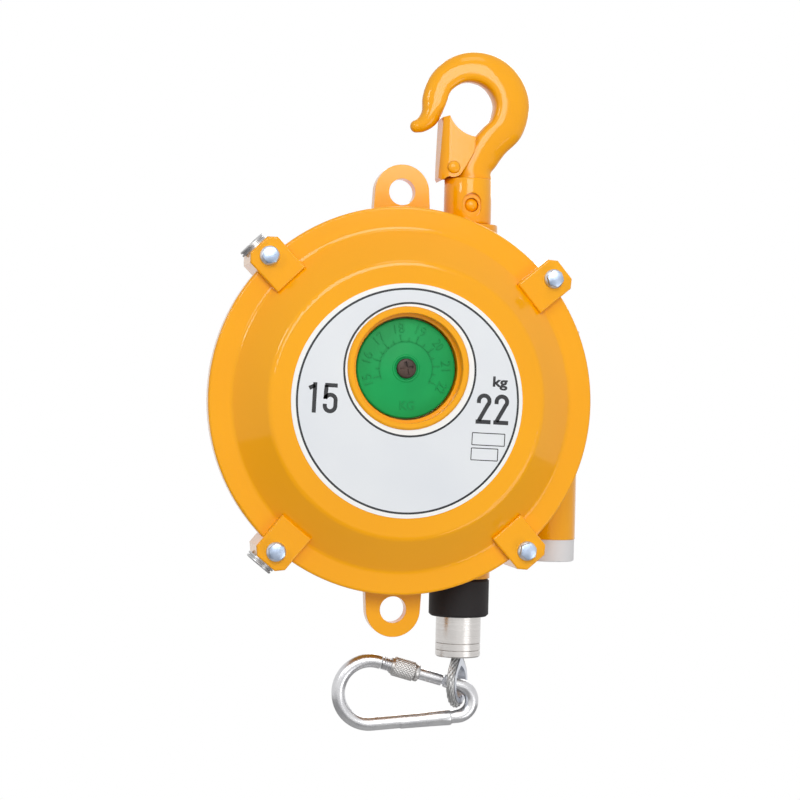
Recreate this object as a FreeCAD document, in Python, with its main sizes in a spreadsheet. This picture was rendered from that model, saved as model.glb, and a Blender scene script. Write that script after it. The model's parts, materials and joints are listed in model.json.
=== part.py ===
"""Tool balancer: a sprung rope drum in a cast case that hangs from a swivel hook.

Frame: X to the right of the dial, Y from the dial to the back, Z up, millimetres.
The origin is the centre of the hook's bowl; hook, rope and carabiner hang on the Z axis.
Pieces of the case are drawn about the case's own centre: on the drum's axis, where the
front cover meets the rear case.
"""
import FreeCAD, Part
import math
import os
import re

import Sketcher
from FreeCAD import Placement, Rotation, Vector

X, Y, Z = Vector(1, 0, 0), Vector(0, 1, 0), Vector(0, 0, 1)
TOUCH = 0.001

DIMENSIONS = {
    # where the case hangs
    "line_offset": 42.0, "line_depth": 30.0,
    # front cover
    "rim_width": 6.2, "rim_thick": 6.0, "rim_flat": 13.0, "rim_round": 1.4, "face_round": 5.0,
    "shoulder_round": 4.0, "face_radius": 76.5, "face_depth": 22.0, "cover_wall": 4.0,
    "lip_radius": 34.0, "lip_height": 1.5, "lip_edge": 1.0, "mouth_radius": 30.5, "mouth_depth": 5.0,
    "well_gap": 0.8, "well_wall": 3.0, "floor_depth": 8.5, "floor_thick": 3.0,
    # bolts round the rim
    "bolt_overhang": 1.0, "bolt_thread": 6.0, "bolt_flats": 10.0, "bolt_head": 4.0,
    "bolt_upper_right": 40.0, "bolt_upper_left": 134.5, "bolt_lower_left": 230.5,
    "bolt_lower_right": 311.0, "bolt_reach": 16.0, "washer_radius": 6.2, "washer_thick": 1.2, "bolt_gap": 0.3,
    "ear_width": 21.0, "ear_root": 4.0, "ear_reach": 9.5, "ear_rise": 4.8, "ear_edge": 1.0,
    "ear_depth": 24.0, "ear_round": 4.0,
    "plug_flats": 15.8, "plug_gap": 0.6, "plug_thick": 3.0, "plug_stud": 4.5, "plug_reach": 4.2,
    "plug_depth": 12.0,
    # rear case
    "case_radius": 102.3, "case_wall": 4.0, "case_taper": 66.0, "case_narrowing": 3.8,
    "case_depth": 104.0, "tail_round": 7.0, "hub_radius": 22.0, "hub_height": 6.0, "hub_cap": 2.0,
    "lug_rise": 15.7, "lug_hole": 7.5, "lug_round": 15.5, "lug_half_width": 17.0,
    "lug_front": 10.0, "lug_thick": 9.0,
    "boss_radius": 17.5, "boss_top_sink": 0.3, "boss_top_length": 26.0,
    "boss_bottom_sink": 1.3, "boss_bottom_length": 21.0,
    # dial
    "dial_radius": 27.8, "dial_thick": 2.5, "dial_face": 15.0, "gear_module": 0.6,
    "pinion_teeth": 12, "dial_teeth": 48, "gear_thick": 2.8, "gear_slack": 0.08, "label_radius": 64.7,
    "label_thick": 0.4, "screw_head": 5.5, "screw_rise": 1.8, "screw_shank": 2.5, "screw_edge": 0.4,
    "dial_edge": 0.5,
    # shaft and spring
    "shaft_radius": 8.0, "bush_wall": 2.0, "fit_gap": 0.05, "face_gap": 0.3,
    "bush_flange": 2.0, "flange_thick": 1.5, "ring_thick": 1.0, "ring_height": 2.6,
    "nose_radius": 1.8, "key_width": 5.0, "key_length": 12.0,
    "spring_wall": 4.0, "back_gap": 2.2, "disc_thick": 3.5, "disc_hub": 7.0, "disc_hub_length": 13.8,
    "lid_thick": 3.0, "lid_gap": 1.0, "lid_rim": 3.0, "lid_hole": 22.0,
    "lid_screws": 6, "lid_screw_head": 3.2, "lid_screw_rise": 2.0,
    "strip_thick": 1.4, "strip_turns": 4, "strip_gap": 2.0,
    "arbor_radius": 18.0, "arbor_gap": 2.0, "arbor_flange": 10.0, "arbor_flange_thick": 5.0,
    # worm drive
    "worm_module": 2.5, "wheel_thick": 8.0, "wheel_rim": 4.0, "wheel_room": 0.8,
    "worm_pitch_radius": 8.0, "worm_box_radius": 14.5, "worm_box_top": 43.5,
    "worm_box_bottom": 80.0, "worm_half_length": 14.0, "worm_journal": 5.0,
    "worm_backlash": 0.6, "worm_root_sink": 0.3, "worm_room": 0.5, "worm_bush": 10.0, "worm_end_gap": 2.0,
    "worm_cap_length": 13.0, "worm_cap_radius": 10.3, "worm_cap_plug": 14.0,
    "key_socket": 6.0, "key_depth": 9.0,
    # drum and rope
    "drum_front": 9.0, "drum_back": 51.0, "drum_flange": 4.0, "drum_flange_radius": 50.0,
    "drum_cone": 0.2, "drum_wall": 5.0, "drum_bore_gap": 1.5, "web_thick": 6.0, "web_inset": 7.0,
    "bearing_radius": 14.0, "bearing_width": 7.0, "bearing_inset": 1.0, "rope_diameter": 4.76,
    # hanging end
    "guide_bore": 3.4, "guide_radius": 9.0, "guide_flange": 3.0, "guide_flange_thick": 2.0,
    "guide_flare": 3.0, "bumper_radius": 17.25, "bumper_length": 21.7, "bumper_edge": 1.2,
    "bumper_gap": 0.6, "sleeve_radius": 12.95, "sleeve_length": 23.5, "sleeve_gap": 0.4,
    "groove_depth": 0.4, "groove_half": 0.2, "groove_first": 4.0, "groove_second": 8.0,
    "ferrule_radius": 7.9, "ferrule_inset": 1.0,
    "sleeve_step": 2.0, "rope_grip": 8.0, "strand_gap": 0.5,
    "eye_turn": 60.0, "eye_radius": 8.8, "eye_soft": 5.0, "eye_seat": 1.6,
    "thimble_wall": 1.0, "thimble_width": 5.2, "thimble_lip": -0.6, "thimble_nose": 1.2,
    "thimble_throat": 3.5,
    # carabiner
    "link_drop": 25.8, "link_small": 9.0, "link_big": 18.2, "link_length": 51.2,
    "link_slope": 5.5, "link_rod": 3.9, "gate_rod": 3.4, "nut_radius": 5.6,
    "nut_length": 17.0, "nut_wall": 4.0, "nut_travel": 8.6, "nut_hold": 2.9, "link_nose": 1.0,
    "gate_pivot": 7.0, "gate_fork": 3.2, "gate_shoulder": 5.2, "gate_gap": 0.4,
    "gate_pin_radius": 1.2, "tongue_half": 1.4, "knuckle_inset": 1.2,
    # top hook
    "bowl_radius": 14.0, "hook_mean": 8.8, "hook_swing": 1.75, "shank_radius": 9.5,
    "tip_across": 31.2, "tip_drop": 12.6, "tip_half": 3.6,
    "curl_across": 28.4, "curl_drop": 11.6, "curl_half": 4.3,
    "bend_across": 24.6, "bend_drop": 8.6, "bend_half": 5.2,
    "nose_across": 22.2, "nose_drop": 4.0, "nose_half": 5.9,
    "throat_across": 14.2, "throat_drop": 19.2, "throat_half": 9.9,
    "lean_across": 6.6, "lean_drop": 28.0, "lean_half": 10.0,
    "line_across": 2.2, "line_drop": 36.0, "line_half": 10.2,
    "neck_across": 1.0, "neck_drop": 41.9, "neck_half": 10.4, "shank_depth": 18.0,
    "head_radius": 13.7, "head_foot": 68.2,
    "pin_depth": 57.6, "pin_radius": 4.0, "stem_radius": 7.0, "stem_nut": 7.0, "stem_spare": 4.0,
    "stem_nut_flats": 19.0, "washer_width": 6.0, "thrust_thick": 2.0, "head_edge": 0.8,
    "pin_recess": 1.6, "recess_depth": 2.2, "pin_inset": 1.5,
    "latch_x": -10.6, "latch_z": -36.2, "latch_half": 10.4, "latch_sheet": 1.5,
    "latch_back": 8.0, "latch_top": 6.7, "latch_tip": 13.4, "latch_foot": 7.5,
    "dip_across": 7.6, "dip_drop": 14.4, "lip_across": 2.0, "lip_drop": 18.2,
    "chin_across": 1.2, "chin_drop": 27.0, "heel_across": 5.0, "heel_drop": 2.5, "heel_round": 5.4,
    "toe_across": 2.5, "toe_drop": 5.2, "latch_cut": 1.6, "latch_lean": 1.8, "fold_round": 6.5,
    "latch_ear": 5.0, "latch_ear_half": 3.6, "latch_ear_reach": 12.0,
    "rivet_radius": 2.5, "rivet_head": 3.7, "rivet_head_thick": 1.3, "rivet_play": 0.1,
    "coil_radius": 3.2, "coil_near": 4.2, "coil_far": 7.8, "coil_wire": 0.9, "coil_leg": 3.0,
}
BOLT_NAMES = ("bolt_upper_right", "bolt_upper_left", "bolt_lower_left", "bolt_lower_right")
PLUG_NAMES = BOLT_NAMES[1:3]

doc = FreeCAD.newDocument("tool_balancer")
sheet = doc.addObject("Spreadsheet::Sheet", "sizes")


def fill_sheet():
    """Write every driving dimension into the sheet, each in a cell of its own name."""
    for row, (name, value) in enumerate(DIMENSIONS.items(), start=1):
        sheet.set(f"A{row}", name)
        sheet.set(f"B{row}", str(value))
        sheet.setAlias(f"B{row}", name)
    doc.recompute()


fill_sheet()


def cells(expression):
    """The expression, with each dimension's name pointing at its cell of the sheet."""
    def cell(word):
        name = word.group()
        return "sizes." + name if name in DIMENSIONS else name
    return re.sub(r"[a-z_]+", cell, expression)


def size(expression):
    """The value that an expression of dimensions has now."""
    return float(sheet.evalExpression(expression))


# Sizes that follow from the driving ones, as expressions on them.
RIM_RADIUS = "(case_radius + rim_width)"
SHOULDER_RADIUS = f"({RIM_RADIUS} - rim_flat)"
EAR_INNER = f"({SHOULDER_RADIUS} - ear_root)"
EAR_OUTER = f"({RIM_RADIUS} + ear_reach)"
BOLT_CIRCLE = f"({RIM_RADIUS} + bolt_overhang)"
TAIL_RADIUS = "(case_radius - case_narrowing)"
LUG_HEIGHT = "(case_radius + lug_rise)"
BOSS_TOP = "(case_radius - boss_top_sink)"
BOSS_INSIDE = f"({BOSS_TOP} - boss_top_length)"
BOSS_BOTTOM = "(case_radius - boss_bottom_sink)"
BOSS_BOTTOM_INSIDE = f"({BOSS_BOTTOM} - boss_bottom_length)"
SEAT_HEIGHT = f"(head_foot + {BOSS_TOP} + face_gap)"
DIAL_OFFSET = "gear_module * (pinion_teeth + dial_teeth) / 2"
WELL_RADIUS = "(dial_radius + well_gap)"
BUSH_RADIUS = "(shaft_radius + bush_wall)"
ROPE_RADIUS = "rope_diameter / 2"

# The wheel has as many teeth as the case has room for, and the spring fits inside its rim.
ROUND_UP = "0.01"
WHEEL_TEETH = f"floor(2 * ((case_radius - case_wall - wheel_room) / worm_module - 1) + {ROUND_UP})"
WHEEL_RADIUS = f"(worm_module * {WHEEL_TEETH} / 2)"
TOOTH_ROOT, PRESSURE_ANGLE = 1.2, 20.0
BOWL_FLATNESS, NECK_FLATNESS = 0.82, 0.87
SPRING_OUTER = f"({WHEEL_RADIUS} - {TOOTH_ROOT} * worm_module - wheel_rim)"
SPRING_RADIUS = f"({SPRING_OUTER} - spring_wall)"
SPRING_FRONT = "(drum_back + lid_gap + lid_thick)"
SPRING_BACK = "(case_depth - case_wall - back_gap)"
ARBOR_END = f"({SPRING_BACK} - disc_hub_length - arbor_gap)"
WEB_BACK = "(drum_back - web_inset)"
SHAFT_BACK = "(case_depth + hub_height - hub_cap - 0.5)"
WORM_TIP = "(worm_pitch_radius + worm_module)"
WORM_ACROSS = f"{WHEEL_RADIUS} + worm_pitch_radius"
WORM_DEEP = f"{SPRING_FRONT} + wheel_thick / 2"
WORM_BORE = f"({WORM_TIP} + worm_room)"

# Heights of what hangs on the rope, down from the drum's axis.
BUMPER_END = f"({BOSS_BOTTOM} + face_gap + bumper_length)"
SLEEVE_END = f"({BUMPER_END} + sleeve_length)"
LINK_DEPTH = f"({SLEEVE_END} + link_drop)"

CASE = Vector(-size("line_offset"), -size("line_depth"), -size(SEAT_HEIGHT))


# --- drawing helpers -------------------------------------------------------------------
def new_body(label, at=Vector()):
    """An empty body named for its piece, placed in the assembly."""
    body = doc.addObject("PartDesign::Body", label)
    body.Label = label
    body.Placement = Placement(at, Rotation())
    return body


def new_sketch(body, plane, lift="0", turn="0"):
    """A sketch on one of the body's own planes, raised along and turned about its normal."""
    sketch = body.newObject("Sketcher::SketchObject", body.Name + "_sketch")
    base = [item for item in body.Origin.OriginFeatures if item.Role == plane][0]
    sketch.AttachmentSupport = [(base, "")]
    sketch.MapMode = "FlatFace"
    sketch.AttachmentOffset = Placement(Vector(), Rotation(Z, size(turn)))
    if lift != "0":
        sketch.setExpression("AttachmentOffset.Base.z", cells(lift))
    return sketch


def pin_down(sketch, line, expressions):
    """Hold a line's first point at its two coordinates, each bound to the sheet."""
    for kind, axis, expression in (("DistanceX", -2, expressions[0]), ("DistanceY", -1, expressions[1])):
        value = size(expression)
        if expression == "0":
            sketch.addConstraint(Sketcher.Constraint("PointOnObject", line, 1, axis))
            continue
        index = sketch.addConstraint(Sketcher.Constraint(kind, -1, 1, line, 1, value))
        name = f"{kind}_{line}"
        sketch.renameConstraint(index, name)
        sketch.setExpression("Constraints." + name, cells(expression))


def draw_outline(sketch, outline):
    """A closed outline of straight lines through points given as pairs of expressions."""
    points = [Vector(size(across), size(up), 0) for across, up in outline]
    count = len(points)
    for index, point in enumerate(points):
        sketch.addGeometry(Part.LineSegment(point, points[(index + 1) % count]))
    for index, pair in enumerate(outline):
        sketch.addConstraint(Sketcher.Constraint("Coincident", index, 2, (index + 1) % count, 1))
        pin_down(sketch, index, pair)


def draw_circle(sketch, radius, across="0", up="0"):
    """A circle whose radius and centre are expressions."""
    centre = Vector(size(across), size(up), 0)
    line = sketch.addGeometry(Part.Circle(centre, Z, size(radius)))
    index = sketch.addConstraint(Sketcher.Constraint("Radius", line, size(radius)))
    sketch.renameConstraint(index, f"radius_{line}")
    sketch.setExpression(f"Constraints.radius_{line}", cells(radius))
    for kind, axis, expression in (("DistanceX", -2, across), ("DistanceY", -1, up)):
        if expression == "0":
            sketch.addConstraint(Sketcher.Constraint("PointOnObject", line, 3, axis))
            continue
        index = sketch.addConstraint(
            Sketcher.Constraint(kind, -1, 1, line, 3, size(expression)))
        sketch.renameConstraint(index, f"{kind}_{line}")
        sketch.setExpression(f"Constraints.{kind}_{line}", cells(expression))


def turn_about(body, sketch, cut=False):
    """Revolve a half section about the sketch's upright axis, adding or cutting."""
    kind = "PartDesign::Groove" if cut else "PartDesign::Revolution"
    feature = body.newObject(kind, body.Name + "_turned")
    feature.Profile = sketch
    feature.ReferenceAxis = (sketch, ["V_Axis"])
    feature.Angle = 360
    return feature


def extrude(body, sketch, length, cut=False, back=False):
    """Pad or pocket a sketch by an expression, towards its normal or back from it."""
    kind = "PartDesign::Pocket" if cut else "PartDesign::Pad"
    feature = body.newObject(kind, body.Name + "_straight")
    feature.Profile = sketch
    feature.setExpression("Length", cells(length))
    # a pocket runs against the sketch's normal, a pad along it
    feature.Reversed = (not back) if cut else back
    return feature


def turned(label, outline, plane="XY_Plane", at=CASE, lift="0"):
    """A piece turned on a lathe: about Y from the XY plane, about Z from the XZ plane."""
    body = new_body(label, at)
    sketch = new_sketch(body, plane, lift)
    draw_outline(sketch, outline)
    turn_about(body, sketch)
    return body


def round_edges(body, radius, pick):
    """Round the edges of the body's last feature that pick says yes to."""
    doc.recompute()
    base = body.Tip
    names = [f"Edge{number}" for number, edge in enumerate(base.Shape.Edges, start=1) if pick(edge)]
    feature = body.newObject("PartDesign::Fillet", body.Name + "_rounds")
    feature.Base = (base, names)
    feature.setExpression("Radius", cells(radius))


def ring_at(radius, depth):
    """A test for the full circle of that radius about the drum's axis, at that depth."""
    wanted, height = size(radius), size(depth)

    def pick(edge):
        """Whether an edge is that circle."""
        if not isinstance(edge.Curve, Part.Circle) or not edge.Closed:
            return False
        centre = edge.Curve.Center
        return (abs(edge.Curve.Radius - wanted) < TOUCH and abs(centre.y - height) < TOUCH
                and abs(centre.x) < TOUCH)
    return pick


def flat_at(depth, clear):
    """A test for edges that lie at one depth, outside a radius from the drum's axis."""
    height, inner = size(depth), size(clear)

    def pick(edge):
        """Whether both ends and the middle of an edge lie there."""
        ends = [edge.valueAt(at) for at in
                (edge.FirstParameter, (edge.FirstParameter + edge.LastParameter) / 2, edge.LastParameter)]
        return all(abs(end.y - height) < TOUCH and math.hypot(end.x, end.z) > inner for end in ends)
    return pick


def feature_of(label, shape, at=Vector()):
    """A piece whose shape is worked out directly, placed in the assembly."""
    piece = doc.addObject("Part::Feature", label)
    piece.Label = label
    piece.Shape = shape
    piece.Placement = Placement(at, Rotation()).multiply(shape.Placement)
    return piece


def cylinder_y(radius, front, back, across=0.0, up=0.0):
    """A plain cylinder along Y from front to back."""
    return Part.makeCylinder(radius, back - front, Vector(across, front, up), Y)


def cylinder_z(radius, low, high, across=0.0, deep=0.0):
    """A plain cylinder along Z from low to high."""
    return Part.makeCylinder(radius, high - low, Vector(across, deep, low), Z)


def hexagon(flats, low, high, axis=Z, centre=Vector()):
    """A hexagonal prism along Z or Y, by its size across the flats."""
    prism = Part.Face(Part.makePolygon([
        Vector(flats / math.sqrt(3) * math.cos(math.radians(60 * corner)),
               flats / math.sqrt(3) * math.sin(math.radians(60 * corner)), 0)
        for corner in range(7)])).extrude(Z * (high - low))
    prism.Placement = Placement(centre + axis * low, Rotation(Z, axis))
    return prism


def polar(radius, degrees, y=0.0):
    """A point at that radius and angle about the drum's axis."""
    angle = math.radians(degrees)
    return Vector(radius * math.cos(angle), y, radius * math.sin(angle))


def belt_wire(big, small, length):
    """Two arcs and the two straight runs between them, in the XZ plane.

    The big arc is centred at the origin and the small one at +length along X.
    """
    lean = math.asin((big - small) / length)
    def on(centre_x, radius, angle):
        return Vector(centre_x + radius * math.cos(angle), 0, radius * math.sin(angle))
    high, low = math.pi / 2 - lean, -(math.pi / 2 - lean)
    big_arc = Part.Arc(on(0, big, high), Vector(-big, 0, 0), on(0, big, low))
    small_arc = Part.Arc(on(length, small, low), Vector(length + small, 0, 0), on(length, small, high))
    lower = Part.LineSegment(on(0, big, low), on(length, small, low))
    upper = Part.LineSegment(on(length, small, high), on(0, big, high))
    return [big_arc.toShape(), lower.toShape(), small_arc.toShape(), upper.toShape()]


def pipe(edges, radius):
    """A round rod along a chain of tangent edges."""
    path = Part.Wire(edges)
    first = edges[0]
    start = first.valueAt(first.FirstParameter)
    circle = Part.Wire(Part.makeCircle(radius, start, first.tangentAt(first.FirstParameter)))
    return path.makePipeShell([circle], True, True)


# --- case ------------------------------------------------------------------------------
def rim_ears(body, front, depth, inner, back):
    """The four bolt ears round the rim, each a block that runs out past it."""
    for name in BOLT_NAMES:
        sketch = new_sketch(body, "XZ_Plane", front, name)
        draw_outline(sketch, [
            (inner, "-ear_width / 2"), (EAR_OUTER + " - ear_round", "-ear_width / 2"),
            (EAR_OUTER, "-ear_width / 2 + ear_round"), (EAR_OUTER, "ear_width / 2 - ear_round"),
            (EAR_OUTER + " - ear_round", "ear_width / 2"), (inner, "ear_width / 2")])
        extrude(body, sketch, depth, back=back)


def rim_holes(body, radius, front, depth, back):
    """A hole in each ear for its bolt."""
    for name in BOLT_NAMES:
        sketch = new_sketch(body, "XZ_Plane", front, name)
        draw_circle(sketch, radius, BOLT_CIRCLE)
        extrude(body, sketch, depth, cut=True, back=back)


def front_cover():
    """The dished cover, with the well for the dial and the shaft's front boss."""
    body = new_body("front_cover", CASE)
    shell = new_sketch(body, "XY_Plane")
    draw_outline(shell, [
        ("0", "-face_depth"), ("face_radius", "-face_depth"), (SHOULDER_RADIUS, "-rim_thick"),
        (RIM_RADIUS, "-rim_thick"), (RIM_RADIUS, "0"), (SHOULDER_RADIUS, "0"),
        ("face_radius - cover_wall / 2", "-face_depth + cover_wall"),
        ("0", "-face_depth + cover_wall")])
    turn_about(body, shell)
    round_edges(body, "face_round", ring_at("face_radius", "-face_depth"))
    round_edges(body, "shoulder_round", ring_at(SHOULDER_RADIUS, "-rim_thick"))
    round_edges(body, "rim_round", ring_at(RIM_RADIUS, "-rim_thick"))
    rim_ears(body, "0", "rim_thick + ear_rise", EAR_INNER, back=False)
    round_edges(body, "ear_edge", flat_at("-rim_thick - ear_rise", EAR_INNER + " - ear_edge"))
    well = new_sketch(body, "XY_Plane", DIAL_OFFSET)
    draw_outline(well, [
        ("0", "-face_depth - lip_height"), ("lip_radius - lip_edge", "-face_depth - lip_height"),
        ("lip_radius", "-face_depth - lip_height + lip_edge"), ("lip_radius", "-face_depth + cover_wall / 2"),
        (WELL_RADIUS + " + well_wall", "-face_depth + cover_wall / 2"),
        (WELL_RADIUS + " + well_wall", "-floor_depth + floor_thick"),
        ("0", "-floor_depth + floor_thick")])
    turn_about(body, well)
    boss = new_sketch(body, "XY_Plane")
    draw_outline(boss, [
        ("0", "-floor_depth + floor_thick / 2"),
        (BUSH_RADIUS + " + well_wall", "-floor_depth + floor_thick / 2"),
        (BUSH_RADIUS + " + well_wall", "rim_thick - bush_flange"), ("0", "rim_thick - bush_flange")])
    turn_about(body, boss)
    hollow = new_sketch(body, "XY_Plane", DIAL_OFFSET)
    draw_outline(hollow, [
        ("0", "-face_depth - lip_height - 1"), ("mouth_radius", "-face_depth - lip_height - 1"),
        ("mouth_radius", "-face_depth + mouth_depth"), (WELL_RADIUS, "-face_depth + mouth_depth"),
        (WELL_RADIUS, "-floor_depth"), ("screw_shank + fit_gap", "-floor_depth"),
        ("screw_shank + fit_gap", "rim_thick"), ("0", "rim_thick")])
    turn_about(body, hollow, cut=True)
    bore = new_sketch(body, "XY_Plane")
    draw_outline(bore, [
        ("0", "-floor_depth - 0.5"), (BUSH_RADIUS, "-floor_depth - 0.5"),
        (BUSH_RADIUS, "rim_thick"), ("0", "rim_thick")])
    turn_about(body, bore, cut=True)
    rim_holes(body, "bolt_thread / 2 + bolt_gap", "-1", "rim_thick + ear_rise + 2", back=False)
    return body


def case_boss(body, low, high):
    """An upright round boss on the line of pull, between two heights."""
    sketch = new_sketch(body, "XY_Plane", low)
    draw_circle(sketch, "boss_radius", "line_offset", "line_depth")
    extrude(body, sketch, f"{high} - ({low})")


def case_bore(body, radius, low, high):
    """A bore through a boss on the line of pull."""
    sketch = new_sketch(body, "XY_Plane", low)
    draw_circle(sketch, radius, "line_offset", "line_depth")
    extrude(body, sketch, f"{high} - ({low})", cut=True)


def rear_case():
    """The deep case, with its eyes, hook boss, rope outlet, ears and worm housing."""
    body = new_body("rear_case", CASE)
    solid = new_sketch(body, "XY_Plane")
    draw_outline(solid, [
        ("0", "0"), (RIM_RADIUS, "0"), (RIM_RADIUS, "rim_thick"), ("case_radius", "rim_thick"),
        ("case_radius", "case_taper"), (TAIL_RADIUS, "case_depth"), ("hub_radius", "case_depth"),
        ("hub_radius - 1", "case_depth + hub_height"), ("0", "case_depth + hub_height")])
    turn_about(body, solid)
    round_edges(body, "tail_round", ring_at(TAIL_RADIUS, "case_depth"))
    round_edges(body, "rim_round", ring_at(RIM_RADIUS, "rim_thick"))
    round_edges(body, "rim_round", ring_at("hub_radius - 1", "case_depth + hub_height"))
    case_boss(body, BOSS_INSIDE, BOSS_TOP)
    case_boss(body, "-" + BOSS_BOTTOM, "-" + BOSS_BOTTOM_INSIDE)
    box = new_sketch(body, "XY_Plane", "-worm_box_bottom")
    draw_circle(box, "worm_box_radius", WORM_ACROSS, WORM_DEEP)
    extrude(body, box, "worm_box_bottom + worm_box_top")
    for side in ("", "-"):
        lug = new_sketch(body, "XZ_Plane", "-lug_front")
        draw_outline(lug, [
            ("-lug_half_width", f"{side}(case_radius - lug_thick)"),
            ("lug_half_width", f"{side}(case_radius - lug_thick)"),
            ("lug_round", side + LUG_HEIGHT), ("-lug_round", side + LUG_HEIGHT)])
        extrude(body, lug, "lug_thick", back=True)
        end = new_sketch(body, "XZ_Plane", "-lug_front")
        draw_circle(end, "lug_round", "0", side + LUG_HEIGHT)
        extrude(body, end, "lug_thick", back=True)
    rim_ears(body, "0", "ear_depth", "case_radius - case_wall / 2", back=True)
    cavity = new_sketch(body, "XY_Plane")
    draw_outline(cavity, [
        ("0", "-1"), ("case_radius - case_wall", "-1"), ("case_radius - case_wall", "case_taper"),
        (TAIL_RADIUS + " - case_wall", "case_depth - case_wall"),
        (BUSH_RADIUS, "case_depth - case_wall"), (BUSH_RADIUS, "case_depth + hub_height - hub_cap"),
        ("0", "case_depth + hub_height - hub_cap")])
    turn_about(body, cavity, cut=True)
    case_boss(body, BOSS_INSIDE, "case_radius - case_wall")
    case_boss(body, "-(case_radius - case_wall)", "-" + BOSS_BOTTOM_INSIDE)
    case_bore(body, "stem_radius + fit_gap", BOSS_INSIDE + " - 1", BOSS_TOP + " + 1")
    case_bore(body, "guide_radius", f"-{BOSS_BOTTOM} - 1", f"-{BOSS_BOTTOM_INSIDE} + 1")
    worm_hole = new_sketch(body, "XY_Plane", "-worm_box_bottom - 1")
    draw_circle(worm_hole, WORM_BORE, WORM_ACROSS, WORM_DEEP)
    extrude(body, worm_hole, "worm_box_bottom + worm_box_top - case_wall + 1", cut=True)
    for side in ("", "-"):
        eye = new_sketch(body, "XZ_Plane", "-lug_front + 1")
        draw_circle(eye, "lug_hole", "0", side + LUG_HEIGHT)
        extrude(body, eye, "lug_thick + 2", cut=True, back=True)
    rim_holes(body, "bolt_thread / 2 - fit_gap", "1", "bolt_reach + 4", back=True)
    for name in PLUG_NAMES:
        plug_socket(body, size(name))
    return body


def plug_socket(body, angle):
    """Cut a plug's socket into its ear, square to the rim."""
    turn = Rotation(Y, -angle)
    sketch = new_sketch(body, "YZ_Plane")
    sketch.MapMode = "Deactivated"
    sketch.Placement = Placement(turn.multVec(X * size(EAR_OUTER + " - plug_stud - plug_gap")),
                                 turn.multiply(Rotation(Vector(1, 1, 1), 120)))
    draw_circle(sketch, "plug_reach", "plug_depth")
    extrude(body, sketch, "plug_stud + plug_gap + plug_thick", cut=True)


def cover_bolts():
    """Four hexagon bolts, from the washers down into the rear case."""
    seat = -size("rim_thick + ear_rise + washer_thick")
    bolts = []
    for name in BOLT_NAMES:
        centre = polar(size(BOLT_CIRCLE), size(name))
        head = hexagon(size("bolt_flats"), seat - size("bolt_head"), seat, Y, centre)
        shank = cylinder_y(size("bolt_thread / 2 - fit_gap * 2"), seat, size("bolt_reach"),
                           centre.x, centre.z)
        bolts.append(head.fuse(shank).removeSplitter())
    return feature_of("cover_bolts", Part.Compound(bolts), CASE)


def bolt_washers():
    """The flat washers under the bolt heads."""
    back = -size("rim_thick + ear_rise")
    rings = []
    for name in BOLT_NAMES:
        centre = polar(size(BOLT_CIRCLE), size(name))
        disc = cylinder_y(size("washer_radius"), back - size("washer_thick"), back, centre.x, centre.z)
        hole = cylinder_y(size("bolt_thread / 2 + bolt_gap"), back - 2 * size("washer_thick"), back + 1,
                          centre.x, centre.z)
        rings.append(disc.cut(hole))
    return feature_of("bolt_washers", Part.Compound(rings), CASE)


def ear_plugs():
    """Hexagon plugs that close the two ears on the left, set square to the rim."""
    plugs = []
    for name in PLUG_NAMES:
        head = hexagon(size("plug_flats"), 0, size("plug_thick"))
        stud = cylinder_z(size("plug_reach - fit_gap"), -size("plug_stud"), 0)
        plug = head.fuse(stud).removeSplitter()
        turn = Rotation(Y, -size(name))
        place = turn.multVec(Vector(size(EAR_OUTER), size("plug_depth"), 0))
        plug.Placement = Placement(place, turn.multiply(Rotation(Z, X)))
        plugs.append(plug)
    return feature_of("ear_plugs", Part.Compound(plugs), CASE)


def face_label():
    """The round face plate, cut out round the dial's lip."""
    body = turned("face_label", [
        ("0", "-face_depth - label_thick"), ("label_radius", "-face_depth - label_thick"),
        ("label_radius", "-face_depth"), ("0", "-face_depth")])
    hole = new_sketch(body, "XZ_Plane", "face_depth - 1")
    draw_circle(hole, "lip_radius + fit_gap * 2", "0", DIAL_OFFSET)
    extrude(body, hole, "label_thick + 2", cut=True)


# --- dial ------------------------------------------------------------------------------
def gear_face(teeth, pitch_radius, module, slack):
    """A flat gear in the XZ plane with straight-flanked teeth, centred on a tooth at +X."""
    root, tip = pitch_radius - TOOTH_ROOT * module, pitch_radius + module
    pitch = 2 * math.pi / teeth
    width = pitch / 2 - slack / pitch_radius
    flank = module * math.tan(math.radians(PRESSURE_ANGLE)) / pitch_radius
    points = []
    for tooth in range(teeth):
        middle = tooth * pitch
        for radius, half in ((root, width / 2 + flank * TOOTH_ROOT), (tip, width / 2 - flank),
                             (tip, flank - width / 2), (root, -width / 2 - flank * TOOTH_ROOT)):
            points.append((radius, middle - half))
    corners = [Vector(radius * math.cos(angle), 0, radius * math.sin(angle)) for radius, angle in points]
    return Part.Face(Part.makePolygon(corners + corners[:1]))


def gear(label, teeth, bore, front, turn, up):
    """A spur gear of the dial train, with its bore, at a height above the shaft."""
    face = gear_face(int(teeth), size("gear_module") * teeth / 2, size("gear_module"), size("gear_slack"))
    solid = face.extrude(Y * size("gear_thick"))
    solid.rotate(Vector(), Y, turn)
    solid = solid.cut(cylinder_y(bore, -1, size("gear_thick") + 1))
    return feature_of(label, solid, CASE + Vector(0, front, up))


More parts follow.
